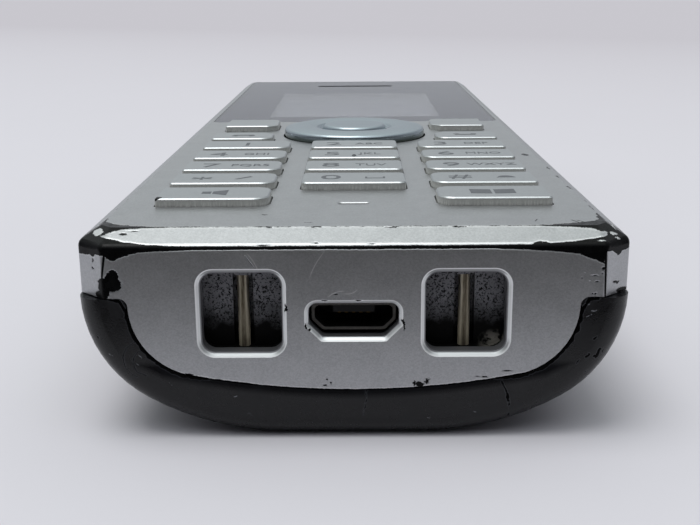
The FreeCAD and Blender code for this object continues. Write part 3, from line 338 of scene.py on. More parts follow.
# dust lies in the outer corner of the right pocket
corner = node(tree, "VectorMath MULTIPLY", node(tree, "VectorMath SUBTRACT", place, (12.6, -70.6, 8.4)),
    (0.6, 0.6, 0.8))
corner = node(tree, "MapRange", node(tree, "VectorMath LENGTH", corner), From_Min=0.2,
    From_Max=1.0, To_Min=1.0, To_Max=0.0)
litter = node(tree, "MapRange", node(tree, "TexNoise", place, Scale=1.8, Detail=5.0), From_Min=0.42,
    From_Max=0.55)
litter = node(tree, "Math MULTIPLY", litter, corner)
two_tone(tree, shader, litter, (tone, holder_dust))
feed(tree, shader.inputs["Specular IOR Level"], node(tree, "MapRange", node(tree, "Math MAXIMUM", pits, litter),
    To_Min=0.05, To_Max=0.35))
feed(tree, shader.inputs["Normal"], node(tree, "Bump", Strength=0.5, Distance=0.00006, Height=grit))
dress("contact_holder battery_connector nav_carrier", holder)

nickel, tree, shader = new_material("tarnished_nickel_painted_glint", Metallic=1.0)
place = in_mm(tree)
tarnish = node(tree, "TexNoise", node(tree, "Mapping", place, Scale=(5.0, 5.0, 0.55)), Scale=1.0, Detail=5.0,
    Roughness=0.7)
# the flanks of each rod are painted bright and its front darker, a painted reflection, over the tarnish
across = node(tree, "SeparateXYZ", node(tree, "VectorMath ABSOLUTE", place)).outputs["X"]
flank_glint = node(tree, "Math ABSOLUTE", node(tree, "Math SUBTRACT", across, 9.82))
flank_glint = node(tree, "MapRange", flank_glint, From_Min=0.14, From_Max=0.36)
tarnish_and_glint = node(tree, "MapRange", tarnish, From_Min=0.35, From_Max=0.65)
tarnish_and_glint = node(tree, "Math MULTIPLY_ADD", tarnish_and_glint, 0.35, flank_glint)
two_tone(tree, shader, tarnish_and_glint, ("#5a5142", "#d6cdb8"))
# the foot of each rod is scoured matt by the pins of the cradle
foot = node(tree, "MapRange", node(tree, "SeparateXYZ", place).outputs["Z"], From_Min=9.0, From_Max=13.0,
    To_Min=0.7, To_Max=0.25)
feed(tree, shader.inputs["Roughness"], node(tree, "Math MULTIPLY_ADD", tarnish, 0.2, foot))
dress("charge_contact_left charge_contact_right", nickel)


# Micro-USB socket: a folded tin-plated shell, soldered to the underside of the board.
# The plastic tongue inside it carries five gold contacts. The shell is drawn in dark greys.
mouth = cloudy("dark_socket_shell", 2.6, 5.0, ("#2f2e2c", "#6f6d69"), (0.3, 0.55), coarse=0.7, Metallic=1.0)
dress("usb_shell", mouth)

tongue_black = cloudy("black_socket_resin", 4.0, 3.0, ("#0a0a0a", "#161616"), Roughness=0.4,
    Specular_IOR_Level=0.25)
dress("usb_tongue", tongue_black)

# the contacts are drawn dark brown: painted shade, as they lie under the tongue
shaded_gold_contact = cloudy("gold_contact_painted_shade", 4.0, 3.0, ("#3a2f1c", "#6d5831"), Metallic=1.0, Roughness=0.45)
dress("usb_contacts", shaded_gold_contact)


# Display: a glass cell on an acrylic light guide, in a white frame with a foam gasket on top.
# The stack lies on the board and the gasket seals it to the underside of the plate.
cell_grey = "#9193a6"
display_glass, tree, shader = new_material("display_cell", Roughness=0.12)
across, along, _ = node(tree, "SeparateXYZ", in_mm(tree)).outputs
# rows and columns of the cell, 0.3 mm apart
gaps = []
for axis in (across, along):
    wave = node(tree, "Math FRACT", node(tree, "Math MULTIPLY", axis, 3.3))
    gaps.append(node(tree, "MapRange", wave, From_Max=0.16, To_Min=1.0, To_Max=0.0))
two_tone(tree, shader, extreme(tree, "MAXIMUM", gaps), (cell_grey, "#83848f"))
dress("display_glass", display_glass)

light_guide, tree, shader = new_material("acrylic_light_guide", Roughness=0.3)
dots = node(tree, "TexVoronoi", in_mm(tree), Scale=1.5)
two_tone(tree, shader, dots, ("#e8e9ec", "#d2d4d8"))
dress("display_backlight", light_guide)


# Earpiece: a receiver and its foam ring under a slit in the window, with a woven steel mesh between.
# The microphone sits in a rubber boot under the slit near the charging end.
wire_pitch = 0.00045
mesh_low, mesh_high = [Vector(corner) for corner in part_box("earpiece_mesh")]
mesh_size = mesh_high - mesh_low
mesh_middle = (mesh_high + mesh_low) / 2
# two layers of wire fill the thickness of the mesh
wire_radius = mesh_size.z / 4

# Black-coated steel wire, woven: dark with a dull glint on each bow.
wire_steel = cloudy("coated_steel_wire", 8.0, 2.0, ("#3a3b3d", "#5a5b5d"), (0.35, 0.55), Metallic=1.0)


def add_object(name, data):
    """Adds an object with this data to the scene."""
    made = bpy.data.objects.new(name, data)
    bpy.context.scene.collection.objects.link(made)
    return made


tree = bpy.data.node_groups.new("woven_mesh", "GeometryNodeTree")
tree.interface.new_socket("Geometry", in_out="OUTPUT", socket_type="NodeSocketGeometry")
for label in ("Width", "Length", "Pitch", "Wire Radius"):
    tree.interface.new_socket(label, in_out="INPUT", socket_type="NodeSocketFloat")
sizes = tree.nodes.new("NodeGroupInput").outputs
wires = []
for run, span, turn in (("Width", "Length", 0.0), ("Length", "Width", math.pi / 2)):
    count = node(tree, "Math FLOOR", node(tree, "Math DIVIDE", sizes[span], sizes["Pitch"]))
    half_run = node(tree, "Math MULTIPLY", node(tree, "Math SUBTRACT", sizes[run], sizes["Wire Radius"]), 0.5)
    start = node(tree, "CombineXYZ", node(tree, "Math MULTIPLY", half_run, -1.0), 0.0, 0.0)
    end = node(tree, "CombineXYZ", half_run, 0.0, 0.0)
    wire = node(tree, "GeometryNodeCurvePrimitiveLine", start, end)
    wire = node(tree, "GeometryNodeResampleCurve", Curve=wire, Count=61)
    # each wire bows over and under its neighbours, by nearly its radius
    sign = 1.0 if turn == 0 else -1.0
    run_x = node(tree, "SeparateXYZ", node(tree, "GeometryNodeInputPosition")).outputs["X"]
    bow = node(tree, "Math MULTIPLY", run_x, node(tree, "Math DIVIDE", math.pi, sizes["Pitch"]))
    bow = node(tree, "Math COSINE", bow)
    bow = node(tree, "Math MULTIPLY", bow, node(tree, "Math MULTIPLY", sizes["Wire Radius"], 0.9 * sign))
    wire = node(tree, "GeometryNodeSetPosition", Geometry=wire, Offset=node(tree, "CombineXYZ", 0.0, 0.0, bow))
    profile = node(tree, "GeometryNodeCurvePrimitiveCircle", Resolution=6, Radius=sizes["Wire Radius"])
    wire = node(tree, "GeometryNodeCurveToMesh", Curve=wire, Profile_Curve=profile, Fill_Caps=True)
    places = node(tree, "GeometryNodeMeshLine", Count=count,
        Offset=node(tree, "CombineXYZ", 0.0, sizes["Pitch"], 0.0))
    centre = node(tree, "Math MULTIPLY", node(tree, "Math ADD", count, -1.0), sizes["Pitch"])
    centre = node(tree, "Math MULTIPLY", centre, -0.5)
    places = node(tree, "GeometryNodeSetPosition", Geometry=places,
        Offset=node(tree, "CombineXYZ", 0.0, centre, 0.0))
    # every other wire is turned over
    odd = node(tree, "Math MODULO", node(tree, "GeometryNodeInputIndex"), 2.0)
    turned = node(tree, "CombineXYZ", node(tree, "Math MULTIPLY", odd, math.pi), 0.0, 0.0)
    laid = node(tree, "GeometryNodeInstanceOnPoints", Points=places, Instance=wire, Rotation=turned)
    wires.append(node(tree, "GeometryNodeTransform", laid, Rotation=(0.0, 0.0, turn)))
both = node(tree, "GeometryNodeJoinGeometry")
for wire in wires:
    feed(tree, both.inputs[0], wire)
real = node(tree, "GeometryNodeRealizeInstances", both)
painted = node(tree, "GeometryNodeSetMaterial", real, Material=wire_steel)
moved = node(tree, "GeometryNodeTransform", painted, Translation=tuple(mesh_middle))
feed(tree, tree.nodes.new("NodeGroupOutput").inputs[0], moved)

woven = add_object("earpiece_weave", bpy.data.meshes.new("earpiece_weave"))
weaving = woven.modifiers.new("weave", "NODES")
weaving.node_group = tree
for item in tree.interface.items_tree:
    if item.in_out == "INPUT":
        weaving[item.identifier] = {"Width": mesh_size.x, "Length": mesh_size.y, "Pitch": wire_pitch,
            "Wire Radius": wire_radius}[item.name]
plain = bpy.data.meshes.new_from_object(woven.evaluated_get(bpy.context.evaluated_depsgraph_get()))
woven.modifiers.clear()
woven.data = plain
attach(woven, "root")
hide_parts("earpiece_mesh")

# Moulded silicone: translucent grey, soft sheen, lightly dusty.
silicone = cloudy("moulded_silicone", 1.2, 4.0, ("#a9adb2", "#c0c3c7"), Roughness=0.55)
dress("microphone_boot", silicone)


# Keypad layers: a silicone mat with one pad for each key, over stainless domes on a film.
# The mat and the film lie on the board, clamped round the edge by the plate.
dress("keypad_mat", silicone)
domes = cloudy("stainless_domes_on_film", 1.0, 3.0, ("#b9b9b4", "#cfcfca"), Metallic=1.0, Roughness=0.25)
dress("dome_sheet", domes)


# Front shell: moulded black ABS under silver metallic paint. The paint is worn off the chamfered rim,
# the corners and the edges of the end face, where the black plastic shows with a ragged step.
paint_light = "#bcbdbf"
paint_dark = "#9d9ea0"
rim_highlight_paint = "#f0f1f1"
bevel_highlight = "#e8eaea"
cut_wall = "#77777a"
edge_line_highlight = "#f4f5f5"
under_paint = "#060607"
# Lower and upper border of the worn strip along the rim: X, then height
strip_low = [(-24.3, 16.72), (-23.5, 16.8), (-22.95, 16.92), (-22.63, 16.7), (-22.2, 17.08), (-21.45, 17.05),
    (-21.2, 16.85), (-20.75, 16.6), (-20.5, 16.58), (-20.05, 16.83), (-19.2, 17.14), (-18.3, 17.33),
    (-16.6, 17.42), (-14.0, 17.5), (-3.7, 17.53), (12.0, 17.53), (14.3, 17.44), (15.5, 17.38), (16.8, 17.3),
    (18.1, 17.2), (19.4, 17.02), (20.3, 16.66), (21.15, 16.3), (21.5, 16.1), (21.62, 17.24), (22.3, 17.15),
    (22.7, 16.75), (23.05, 16.54), (23.35, 16.9), (24.3, 17.03)]
strip_high = [(-24.3, 19.2), (-23.1, 19.1), (-22.7, 18.5), (-21.7, 18.39), (-20.9, 18.3), (-20.1, 18.17),
    (-18.2, 18.0), (-16.2, 17.86), (-14.0, 17.82), (0.0, 17.82), (12.0, 17.84), (15.3, 17.87), (15.6, 18.02),
    (16.2, 18.08), (16.6, 18.03), (16.9, 17.95), (18.1, 18.02), (19.5, 18.11), (20.9, 18.26), (22.1, 18.36),
    (22.3, 19.2), (24.3, 19.2)]
# Back border of the worn strip along the front of the plate: X, then Y; and its lower border: X, then height
plate_back = [(-24.3, -69.6), (-22.9, -69.0), (-22.6, -66.4), (-22.3, -66.2), (-22.2, -67.6), (-21.7, -68.4),
    (-20.7, -69.1), (-18.8, -69.65), (-16.2, -69.93), (-13.2, -69.85), (-12.6, -70.0), (0.0, -70.03),
    (12.0, -70.03), (15.5, -69.93), (17.4, -69.65), (18.6, -69.3), (20.4, -68.75), (21.6, -68.35),
    (22.1, -67.4), (22.3, -64.6), (22.5, -64.4), (22.7, -67.2), (24.3, -68.6)]
plate_low = [(-24.3, 18.3), (-22.1, 18.42), (-21.75, 18.43), (-21.4, 18.66), (-20.9, 18.79), (-20.0, 18.87),
    (-19.0, 18.92), (-16.2, 18.98), (15.5, 18.98), (17.8, 18.93), (20.1, 18.86), (21.0, 18.75), (22.2, 18.45),
    (24.3, 18.1)]
# Chips: X, Y, Z of the middle, then the half size each way
chips = [(-20.85, -72.5, 14.75, 0.68, 0.5, 0.95), (-20.6, -72.5, 14.5, 0.66, 0.5, 0.6),
    (-20.75, -72.5, 15.35, 0.42, 0.5, 0.5), (-21.7, -72.4, 14.15, 0.7, 0.7, 0.95),
    (-21.95, -72.2, 13.45, 0.75, 0.6, 0.42), (23.6, -70.8, 13.35, 0.8, 0.9, 0.22),
    (22.85, -71.5, 14.3, 0.42, 0.5, 0.11), (23.12, -71.25, 14.16, 0.16, 0.4, 0.14),
    (-22.75, -71.6, 15.75, 0.17, 0.3, 0.12), (-22.7, -71.6, 16.45, 0.09, 0.3, 0.22),
    (19.66, -72.5, 14.91, 0.07, 0.3, 0.07), (20.0, -72.5, 15.34, 0.05, 0.3, 0.05),
    (20.88, -72.5, 15.1, 0.22, 0.3, 0.06), (21.0, -72.5, 14.56, 0.16, 0.3, 0.07),
    (20.8, -72.5, 13.5, 0.1, 0.3, 0.08), (21.1, -72.5, 13.45, 0.07, 0.3, 0.14),
    (20.3, -72.5, 14.6, 0.04, 0.3, 0.04), (21.45, -72.5, 15.75, 0.12, 0.3, 0.14),
    (21.4, -72.5, 15.3, 0.07, 0.3, 0.1), (5.3, -72.5, 5.25, 0.14, 0.3, 0.3),
    (5.85, -72.5, 5.2, 0.42, 0.3, 0.26), (6.45, -72.5, 5.45, 0.1, 0.3, 0.34),
    (-2.4, -72.5, 5.66, 0.08, 0.3, 0.1), (-2.05, -72.5, 5.3, 0.07, 0.3, 0.14),
    (-2.6, -72.5, 5.12, 0.1, 0.3, 0.07), (-14.6, -72.5, 6.15, 0.45, 0.3, 0.12),
    (-12.1, -72.5, 5.6, 0.5, 0.3, 0.14), (-9.7, -72.5, 5.14, 0.6, 0.3, 0.16),
    (11.5, -72.5, 5.86, 0.28, 0.3, 0.07), (10.9, -72.5, 5.9, 0.2, 0.3, 0.05),
    (13.5, -72.5, 6.42, 0.4, 0.3, 0.06), (-5.85, -72.4, 12.3, 0.12, 0.4, 0.42),
    (-4.2, -72.4, 10.6, 0.14, 0.4, 0.3), (-3.95, -72.3, 10.25, 0.22, 0.4, 0.12),
    (4.32, -72.5, 10.75, 0.1, 0.4, 0.6), (-2.6, -72.4, 12.95, 0.35, 0.4, 0.08),
    (0.4, -72.4, 12.95, 0.3, 0.4, 0.08), (-1.55, -72.5, 13.55, 0.12, 0.3, 0.07),
    (-8.2, -65.2, 19.0, 0.3, 0.14, 0.2), (-4.0, -68.5, 19.0, 0.4, 0.1, 0.2),
    (21.15, -31.5, 19.0, 0.4, 0.8, 0.3), (22.3, -41.1, 19.0, 0.16, 0.8, 0.2),
    (22.3, -46.7, 19.0, 0.12, 0.6, 0.2), (22.35, -53.0, 19.0, 0.14, 0.9, 0.2),
    (22.7, -58.6, 18.8, 0.14, 0.6, 0.15), (22.5, -62.4, 18.93, 0.16, 1.3, 0.2),
    (-22.65, -61.6, 18.85, 0.1, 0.45, 0.12), (-22.55, -57.4, 18.92, 0.08, 0.6, 0.12),
    (-3.2, -70.1, 18.97, 0.5, 0.14, 0.1), (-7.4, -70.05, 19.0, 0.45, 0.12, 0.1),
    (3.4, -70.1, 18.97, 0.7, 0.1, 0.1), (9.3, -70.1, 18.97, 0.6, 0.12, 0.1),
    (-20.0, -70.9, 18.6, 0.26, 0.22, 0.09), (-19.1, -70.55, 18.76, 0.4, 0.12, 0.05),
    (-7.7, -72.3, 17.86, 0.5, 0.3, 0.05), (-3.1, -72.1, 18.04, 0.16, 0.2, 0.04),
    (1.6, -72.2, 17.96, 0.24, 0.2, 0.04), (-21.9, 70.2, 18.5, 1.6, 1.3, 0.9), (22.2, 70.6, 18.4, 1.3, 1.2, 0.9),
    (7.0, 72.3, 17.9, 3.0, 0.4, 0.25), (-12.0, 72.4, 17.8, 2.0, 0.3, 0.2)]
# Flecks of paint that are left where the rest is worn: X, Y, Z of the middle, then the half size each way
flecks = [(-22.4, -69.9, 18.55, 0.5, 0.75, 0.3), (23.0, -69.0, 18.6, 0.1, 0.7, 0.4),
    (22.7, -70.45, 18.3, 0.3, 0.2, 0.2), (23.0, -70.9, 18.05, 0.3, 0.12, 0.15),
    (21.4, -72.0, 18.08, 0.3, 0.12, 0.05)]
# Straight cuts through the paint: the two ends, X, Y and Z, and half the width
cuts = [((-21.42, -72.5, 17.1), (-22.02, -72.5, 13.6), 0.11),
    ((21.62, -72.48, 17.2), (21.8, -72.42, 12.8), 0.11), ((19.5, -68.0, 19.0), (20.2, -69.5, 19.0), 0.09),
    ((20.0, -68.2, 19.0), (20.6, -69.0, 19.0), 0.09), ((16.2, -68.4, 19.0), (16.5, -67.6, 19.0), 0.05),
    ((-9.3, -72.5, 17.0), (-8.6, -72.5, 16.0), 0.025)]
# Scratches: centre and radius of the arc, then the place and reach of the stretch that shows
scratches = [(3.2, 12.6, 7.4, -3.3, 16.3, 1.5), (-12.3, 14.3, 4.3, -8.6, 16.5, 1.0),
    (-0.9, 11.9, 1.9, -1.6, 13.7, 0.9), (-0.5, 14.6, 1.05, -0.2, 13.6, 0.7)]

silver, tree, shader = new_material("silver_paint_on_abs")
place = in_mm(tree)
# ragged edge of the paint: bays about 1 mm across, with nibbles of 0.15 mm in them
frayed = place
for scale, reach in ((1.1, (1.0, 0.8, 0.1)), (6.0, (0.3, 0.3, 0.1))):
    ragged = node(tree, "TexNoise", place, Scale=scale, Detail=3.0, Roughness=0.6)
    ragged = node(tree, "VectorMath SUBTRACT", ragged.outputs["Color"], (0.5, 0.5, 0.5))
    frayed = node(tree, "VectorMath MULTIPLY_ADD", ragged, reach, frayed)
x, y, z = node(tree, "SeparateXYZ", frayed).outputs
# each border is a curve over X, from one side of the case to the other
case_edge = 24.3
spot = node(tree, "MapRange", x, From_Min=-case_edge, From_Max=case_edge)
borders = []
heights = (16.0, 19.2)
for points, (low, high) in ((strip_low, heights), (strip_high, heights), (plate_back, (-72.0, -62.0)),
        (plate_low, heights)):
    border = node(tree, "FloatCurve", 1.0, spot)
    curve = border.mapping.curves[0]
    while len(curve.points) < len(points):
        curve.points.new(0.5, 0.5)
    for knot, (at, level) in zip(curve.points, points):
        knot.location = ((at + case_edge) / (2 * case_edge), (level - low) / (high - low))
        knot.handle_type = "VECTOR"
    border.mapping.update()
    borders.append(node(tree, "MapRange", border, To_Min=low, To_Max=high))
low_z, high_z, back_y, plate_z = borders
strip = within(tree, (z, low_z), (high_z, z), (-67.6, y))
plate = within(tree, (back_y, y), (z, plate_z))
# nibbled edge along the tongue, where it meets the black hull: its lower edge is an arc
rim = node(tree, "Math MINIMUM", off_arc(tree, frayed, 0, sweep_z, sweep_radius),
    node(tree, "Math SUBTRACT", -72.2, y))
worn_border = extreme(tree, "MAXIMUM", (strip, plate, rim))
depth = worn_border


def inside_spot(tree, place, spot):
    """How far a place lies inside an ellipsoid: X, Y, Z of its middle and its half size each way."""
    half = spot[3:]
    offset = node(tree, "VectorMath SUBTRACT", place, spot[:3])
    offset = node(tree, "VectorMath MULTIPLY", offset, tuple(1 / size for size in half))
    inner = node(tree, "Math SUBTRACT", 1.0, node(tree, "VectorMath LENGTH", offset))
    return node(tree, "Math MULTIPLY", inner, min(half))


for chip in chips:
    depth = node(tree, "Math MAXIMUM", depth, inside_spot(tree, frayed, chip))
for fleck in flecks:
    kept = node(tree, "Math MULTIPLY", inside_spot(tree, frayed, fleck), -1.0)
    depth = node(tree, "Math MINIMUM", depth, kept)
for stroke in cuts:
    depth = node(tree, "Math MAXIMUM", depth, inside_stroke(tree, place, *stroke))
bare = node(tree, "MapRange", depth, From_Min=-0.01, From_Max=0.02)

marks = []
for arc_x, arc_z, radius, spot_x, spot_z, span in scratches:
    ring = node(tree, "Math ABSOLUTE", off_arc(tree, place, arc_x, arc_z, radius))
    ring = node(tree, "MapRange", ring, From_Min=0.02, From_Max=0.07, To_Min=1.0, To_Max=0.0)
    away = node(tree, "VectorMath SUBTRACT", place, (spot_x, -72.5, spot_z))
    away = node(tree, "VectorMath LENGTH", away)
    shown = node(tree, "MapRange", away, From_Min=span * 0.6, From_Max=span, To_Min=1.0, To_Max=0.0)
    marks.append(node(tree, "Math MULTIPLY", ring, shown))
mark = extreme(tree, "MAXIMUM", marks)

# The bevels round the windows and the socket are painted bright, with a thinner, brighter line outside: painted
# highlights.
# Each is a band round a rounded box: X and Z of its middle, half its width and height, its corner radius,
# the width of the band, and how far its lower corners are cut off
socket_low, socket_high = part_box("usb_shell")
socket_bottom, socket_top = socket_low[2] * 1000 - 0.44, socket_high[2] * 1000 + 0.14
bevels = [(9.82, 11.78, 3.525, 3.62, 1.15, 0.44, 0.0),
    (0.0, (socket_bottom + socket_top) / 2, 3.95, (socket_top - socket_bottom) / 2, 0.75, 0.37, 1.24)]
folded = node(tree, "VectorMath ABSOLUTE", place)
rounds = []
for middle_x, middle_z, half_x, half_z, corner, band, slant in bevels:
    offset = node(tree, "VectorMath SUBTRACT", folded, (middle_x, 0, middle_z))
    offset = node(tree, "VectorMath ABSOLUTE", offset)
    # 500 mm, more than the handset is long, leaves Y out
    offset = node(tree, "VectorMath SUBTRACT", offset, (half_x - corner, 500, half_z - corner))
    offset = node(tree, "VectorMath MAXIMUM", offset, (0, 0, 0))
    away = node(tree, "Math SUBTRACT", node(tree, "VectorMath LENGTH", offset), corner)
    if slant:
        half_root = math.sqrt(0.5)
        edge = (half_x - slant - middle_z + half_z) * half_root
        sloped = node(tree, "VectorMath DOT_PRODUCT", folded, (half_root, 0, -half_root))
        sloped = node(tree, "Math SUBTRACT", sloped, edge)
        away = node(tree, "Math MAXIMUM", away, sloped)
    rounds.append(node(tree, "Math SUBTRACT", away, band))
outside = extreme(tree, "MINIMUM", rounds)
near_face = node(tree, "MapRange", y, From_Min=-71.9, From_Max=-71.7, To_Min=1.0, To_Max=0.0)
bevel_band = node(tree, "MapRange", outside, From_Min=-0.02, From_Max=0.0, To_Min=1.0, To_Max=0.0)
bevel_band = node(tree, "Math MULTIPLY", bevel_band, near_face)
# a thin line just outside each bevel is painted brighter: a painted highlight
edge_glint = node(tree, "Math ABSOLUTE", node(tree, "Math ADD", outside, 0.06))
edge_glint = node(tree, "MapRange", edge_glint, From_Min=0.04, From_Max=0.08, To_Min=1.0, To_Max=0.0)
edge_glint = node(tree, "Math MULTIPLY", edge_glint, near_face)

# the walls of the openings behind the bevels are cut too, and dull
wall = node(tree, "MapRange", outside, From_Min=-0.36, From_Max=-0.3, To_Min=1.0, To_Max=0.0)
wall = node(tree, "Math MULTIPLY", wall, node(tree, "Math LESS_THAN", y, -70.0))


def flakes(tree, place):
    """Random grey for each metal flake of a paint, drawn at 0.12 mm."""
    cells = node(tree, "TexVoronoi", place, Scale=9.0)
    return node(tree, "SeparateColor", cells.outputs["Color"])


flake = node(tree, "Mix", 0.5, flakes(tree, place), node(tree, "TexNoise", place, Scale=0.6, Detail=4.0))
tone = node(tree, "Mix RGBA", flake, paint_dark, paint_light)
# next to the long worn borders the paint is painted brighter: a painted highlight along the rim
rim_highlight = node(tree, "MapRange", worn_border, From_Min=-0.11, From_Max=-0.03, To_Max=0.42)
tone = node(tree, "Mix RGBA", rim_highlight, tone, rim_highlight_paint)
# the upper bevels of the windows, which face down, are painted darker: painted shade
upper_bevel_shade = node(tree, "MapRange", z, From_Min=15.1, From_Max=15.4, To_Max=0.7)
bevel_tone = node(tree, "Mix RGBA", upper_bevel_shade, bevel_highlight, "#808284")
tone = node(tree, "Mix RGBA", bevel_band, tone, bevel_tone)
tone = node(tree, "Mix RGBA", edge_glint, tone, edge_line_highlight)
tone = node(tree, "Mix RGBA", wall, tone, cut_wall)
tone = node(tree, "Mix RGBA", node(tree, "Math MULTIPLY", mark, 0.6), tone, "#e6e6e6")
tone = node(tree, "Mix RGBA", bare, tone, under_paint)
feed(tree, shader.inputs["Base Color"], tone)
metal = node(tree, "MapRange", edge_glint, To_Min=0.95, To_Max=0.35)
metal = node(tree, "Mix", node(tree, "Math MAXIMUM", rim_highlight, wall), metal, 0.5)
feed(tree, shader.inputs["Metallic"], node(tree, "Mix", bare, metal, 0.0))
gloss = node(tree, "MapRange", flake, To_Min=0.36, To_Max=0.44)
plastic = node(tree, "TexNoise", place, Scale=1.5, Detail=4.0)
plastic = node(tree, "MapRange", plastic, From_Min=0.3, From_Max=0.7, To_Min=0.15, To_Max=0.4)
feed(tree, shader.inputs["Roughness"], node(tree, "Mix", bare, gloss, plastic))
feed(tree, shader.inputs["Specular IOR Level"], node(tree, "MapRange", bare, To_Min=0.5, To_Max=0.1))
# the step at the edge of the paint is about 0.04 mm, drawn at 0.06
step = node(tree, "MapRange", depth, From_Min=-0.05, From_Max=0.05, To_Min=1.0, To_Max=0.0)
skin = node(tree, "Math ADD", node(tree, "Math MULTIPLY", flake, 0.06), step)
feed(tree, shader.inputs["Normal"], node(tree, "Bump", Strength=0.6, Distance=0.00006, Height=skin))
dress("front_shell", silver)


# Display window: a sheet of clear acrylic, bonded into the recess of the plate.
# Its border is printed dark on the underside, and the view and the earpiece slit are left clear.
window, tree, shader = new_material("clear_acrylic", Base_Color=(1, 1, 1, 1), IOR=1.49, Transmission_Weight=1.0)
# haze of handling dust and wipe marks
smear = node(tree, "TexNoise", in_mm(tree), Scale=0.25, Detail=6.0, Roughness=0.6)
feed(tree, shader.inputs["Roughness"], node(tree, "MapRange", smear, From_Min=0.35, From_Max=0.7, To_Min=0.04,
    To_Max=0.14))
dress("display_window", window)

# The print lies just under the sheet. It leaves the view and the slit of the earpiece clear.
print_low = 0.01786
print_high = 0.017875
view_half = 0.0138
view_y = (0.0085, 0.0455)
slit_half = (0.0078, 0.001)
inset = 0.0003
window_low, window_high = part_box("display_window")
ink = cloudy("dark_back_print", 2.0, 4.0, ("#26273a", "#2e2f42"), Roughness=0.5)


def add_prism(bm, points, low, high):
    """Adds an upright prism on an outline of X and Y, between two heights."""
    bottom = [bm.verts.new((px, py, low)) for px, py in points]
    top = [bm.verts.new((px, py, high)) for px, py in points]
    bm.faces.new(bottom[::-1])
    bm.faces.new(top)
    for i in range(len(points)):
        j = (i + 1) % len(points)
        bm.faces.new((bottom[i], bottom[j], top[j], top[i]))


def add_piece(name, bm, made, body):
    """Makes a piece of this mesh, riding on a body, with a material."""
    mesh = bpy.data.meshes.new(name)
    bm.to_mesh(mesh)
    bm.free()
    mesh.materials.append(made)
    piece = add_object(name, mesh)
    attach(piece, body)


rows = [window_low[1] + inset, *view_y, mesh_middle.y - slit_half[1], mesh_middle.y + slit_half[1],
    window_high[1] - inset]
edge_x = window_high[0] - inset
bm = bmesh.new()
for row, clear in enumerate((0, view_half, 0, slit_half[0], 0)):
    for x0, x1 in ((-edge_x, -clear), (clear, edge_x)) if clear else ((-edge_x, edge_x),):
        y0, y1 = rows[row:row + 2]
        add_prism(bm, [(x0, y0), (x1, y0), (x1, y1), (x0, y1)], print_low, print_high)
add_piece("window_print", bm, ink, "root")


# Keys: moulded caps in the paint of the case, each with a small turned-down edge and a plunger
# under it. They drop into the plate from below, and the silicone mat lifts them.
key_silver, tree, shader = new_material("silver_paint_on_key")
place = in_mm(tree)
z = node(tree, "SeparateXYZ", place).outputs["Z"]
flake = flakes(tree, place)
# drag marks of the mould on the sides, 0.15 mm apart, run upright
drag = node(tree, "TexNoise", node(tree, "Mapping", place, Scale=(7.0, 7.0, 1.6)), Scale=1.0, Detail=4.0)
side = node(tree, "MapRange", z, From_Min=19.64, From_Max=19.68, To_Min=1.0, To_Max=0.0)
lower = node(tree, "MapRange", z, From_Min=19.05, From_Max=19.65, To_Min=1.0, To_Max=0.0)
tone = node(tree, "Mix RGBA", flake, "#aaadaf", "#b7babc")
# the sides are painted lighter towards their foot, streaked by the drag marks: a painted reflection of the
# plate
drag_and_foot_reflection = node(tree, "Math MULTIPLY", node(tree, "MapRange", drag, From_Min=0.3, From_Max=0.7), lower)
drag_and_foot_reflection = node(tree, "Mix RGBA", drag_and_foot_reflection, "#b6b6b2", "#e4e4e0")
tone = node(tree, "Mix RGBA", side, tone, drag_and_foot_reflection)
# chips: one on the corner of the hands-free key, two on the front edge of the nought
front_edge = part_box("key_0")[0][1] * 1000
key_chips = [(-18.85, -61.05, 19.72, 0.5, 0.45, 0.3), (-2.0, front_edge + 0.1, 19.75, 0.12, 0.25, 0.15),
    (0.1, front_edge + 0.1, 19.75, 0.16, 0.25, 0.15)]
chip = extreme(tree, "MAXIMUM", [inside_spot(tree, place, spot) for spot in key_chips])
chip = node(tree, "MapRange", chip, From_Min=-0.01, From_Max=0.02)
feed(tree, shader.inputs["Base Color"], node(tree, "Mix RGBA", chip, tone, "#060607"))
metal = node(tree, "MapRange", side, To_Min=0.95, To_Max=0.15)
feed(tree, shader.inputs["Metallic"], node(tree, "Mix", chip, metal, 0.0))
feed(tree, shader.inputs["Specular IOR Level"], node(tree, "MapRange", chip, To_Min=0.5, To_Max=0.1))
feed(tree, shader.inputs["Roughness"], node(tree, "MapRange", flake, To_Min=0.34, To_Max=0.44))
feed(tree, shader.inputs["Normal"], node(tree, "Bump", Strength=0.25, Distance=0.00004,
    Height=node(tree, "Math MULTIPLY", drag, side)))
dress(" ".join(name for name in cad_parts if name.startswith("key_")), key_silver)

# Marks on the keys: pad-printed in grey ink, a film 0.015 mm thick.
# Digits are 2.4 mm high, left of the middle of their key, and the letters beside them 1.35 mm.
ink_low = 19.8
ink_high = 19.815
digit_height = 2.4
digit_stretch = 1.35
digit_left = 2.6
sign_left = 2.4
letter_height = 1.35
letters_right = 1.9
# share of the type size that a capital of the font is high
capital_share = 0.73
key_ink = cloudy("grey_pad_print", 3.0, 4.0, ("#4c4e53", "#606268"), Roughness=0.55)


def add_words(bm, words, height, middle_x, middle_y, stretch=1.0):
    """Adds printed words of this capital height, centred on a place in mm and stretched along X."""
    curve = bpy.data.curves.new("words", "FONT")
    curve.body = words
    curve.size = height / capital_share
    curve.extrude = (ink_high - ink_low) / 2
    curve.align_x = "CENTER"
    curve.resolution_u = 4
    typed = add_object("words", curve)
    bpy.context.view_layer.update()
    mesh = bpy.data.meshes.new_from_object(typed.evaluated_get(bpy.context.evaluated_depsgraph_get()))
    bpy.data.objects.remove(typed)
    place = Matrix.Translation((middle_x, middle_y - height / 2, (ink_low + ink_high) / 2))
    mesh.transform(Matrix.Scale(0.001, 4) @ place @ Matrix.Diagonal((stretch, 1, 1, 1)))
    bm.from_mesh(mesh)


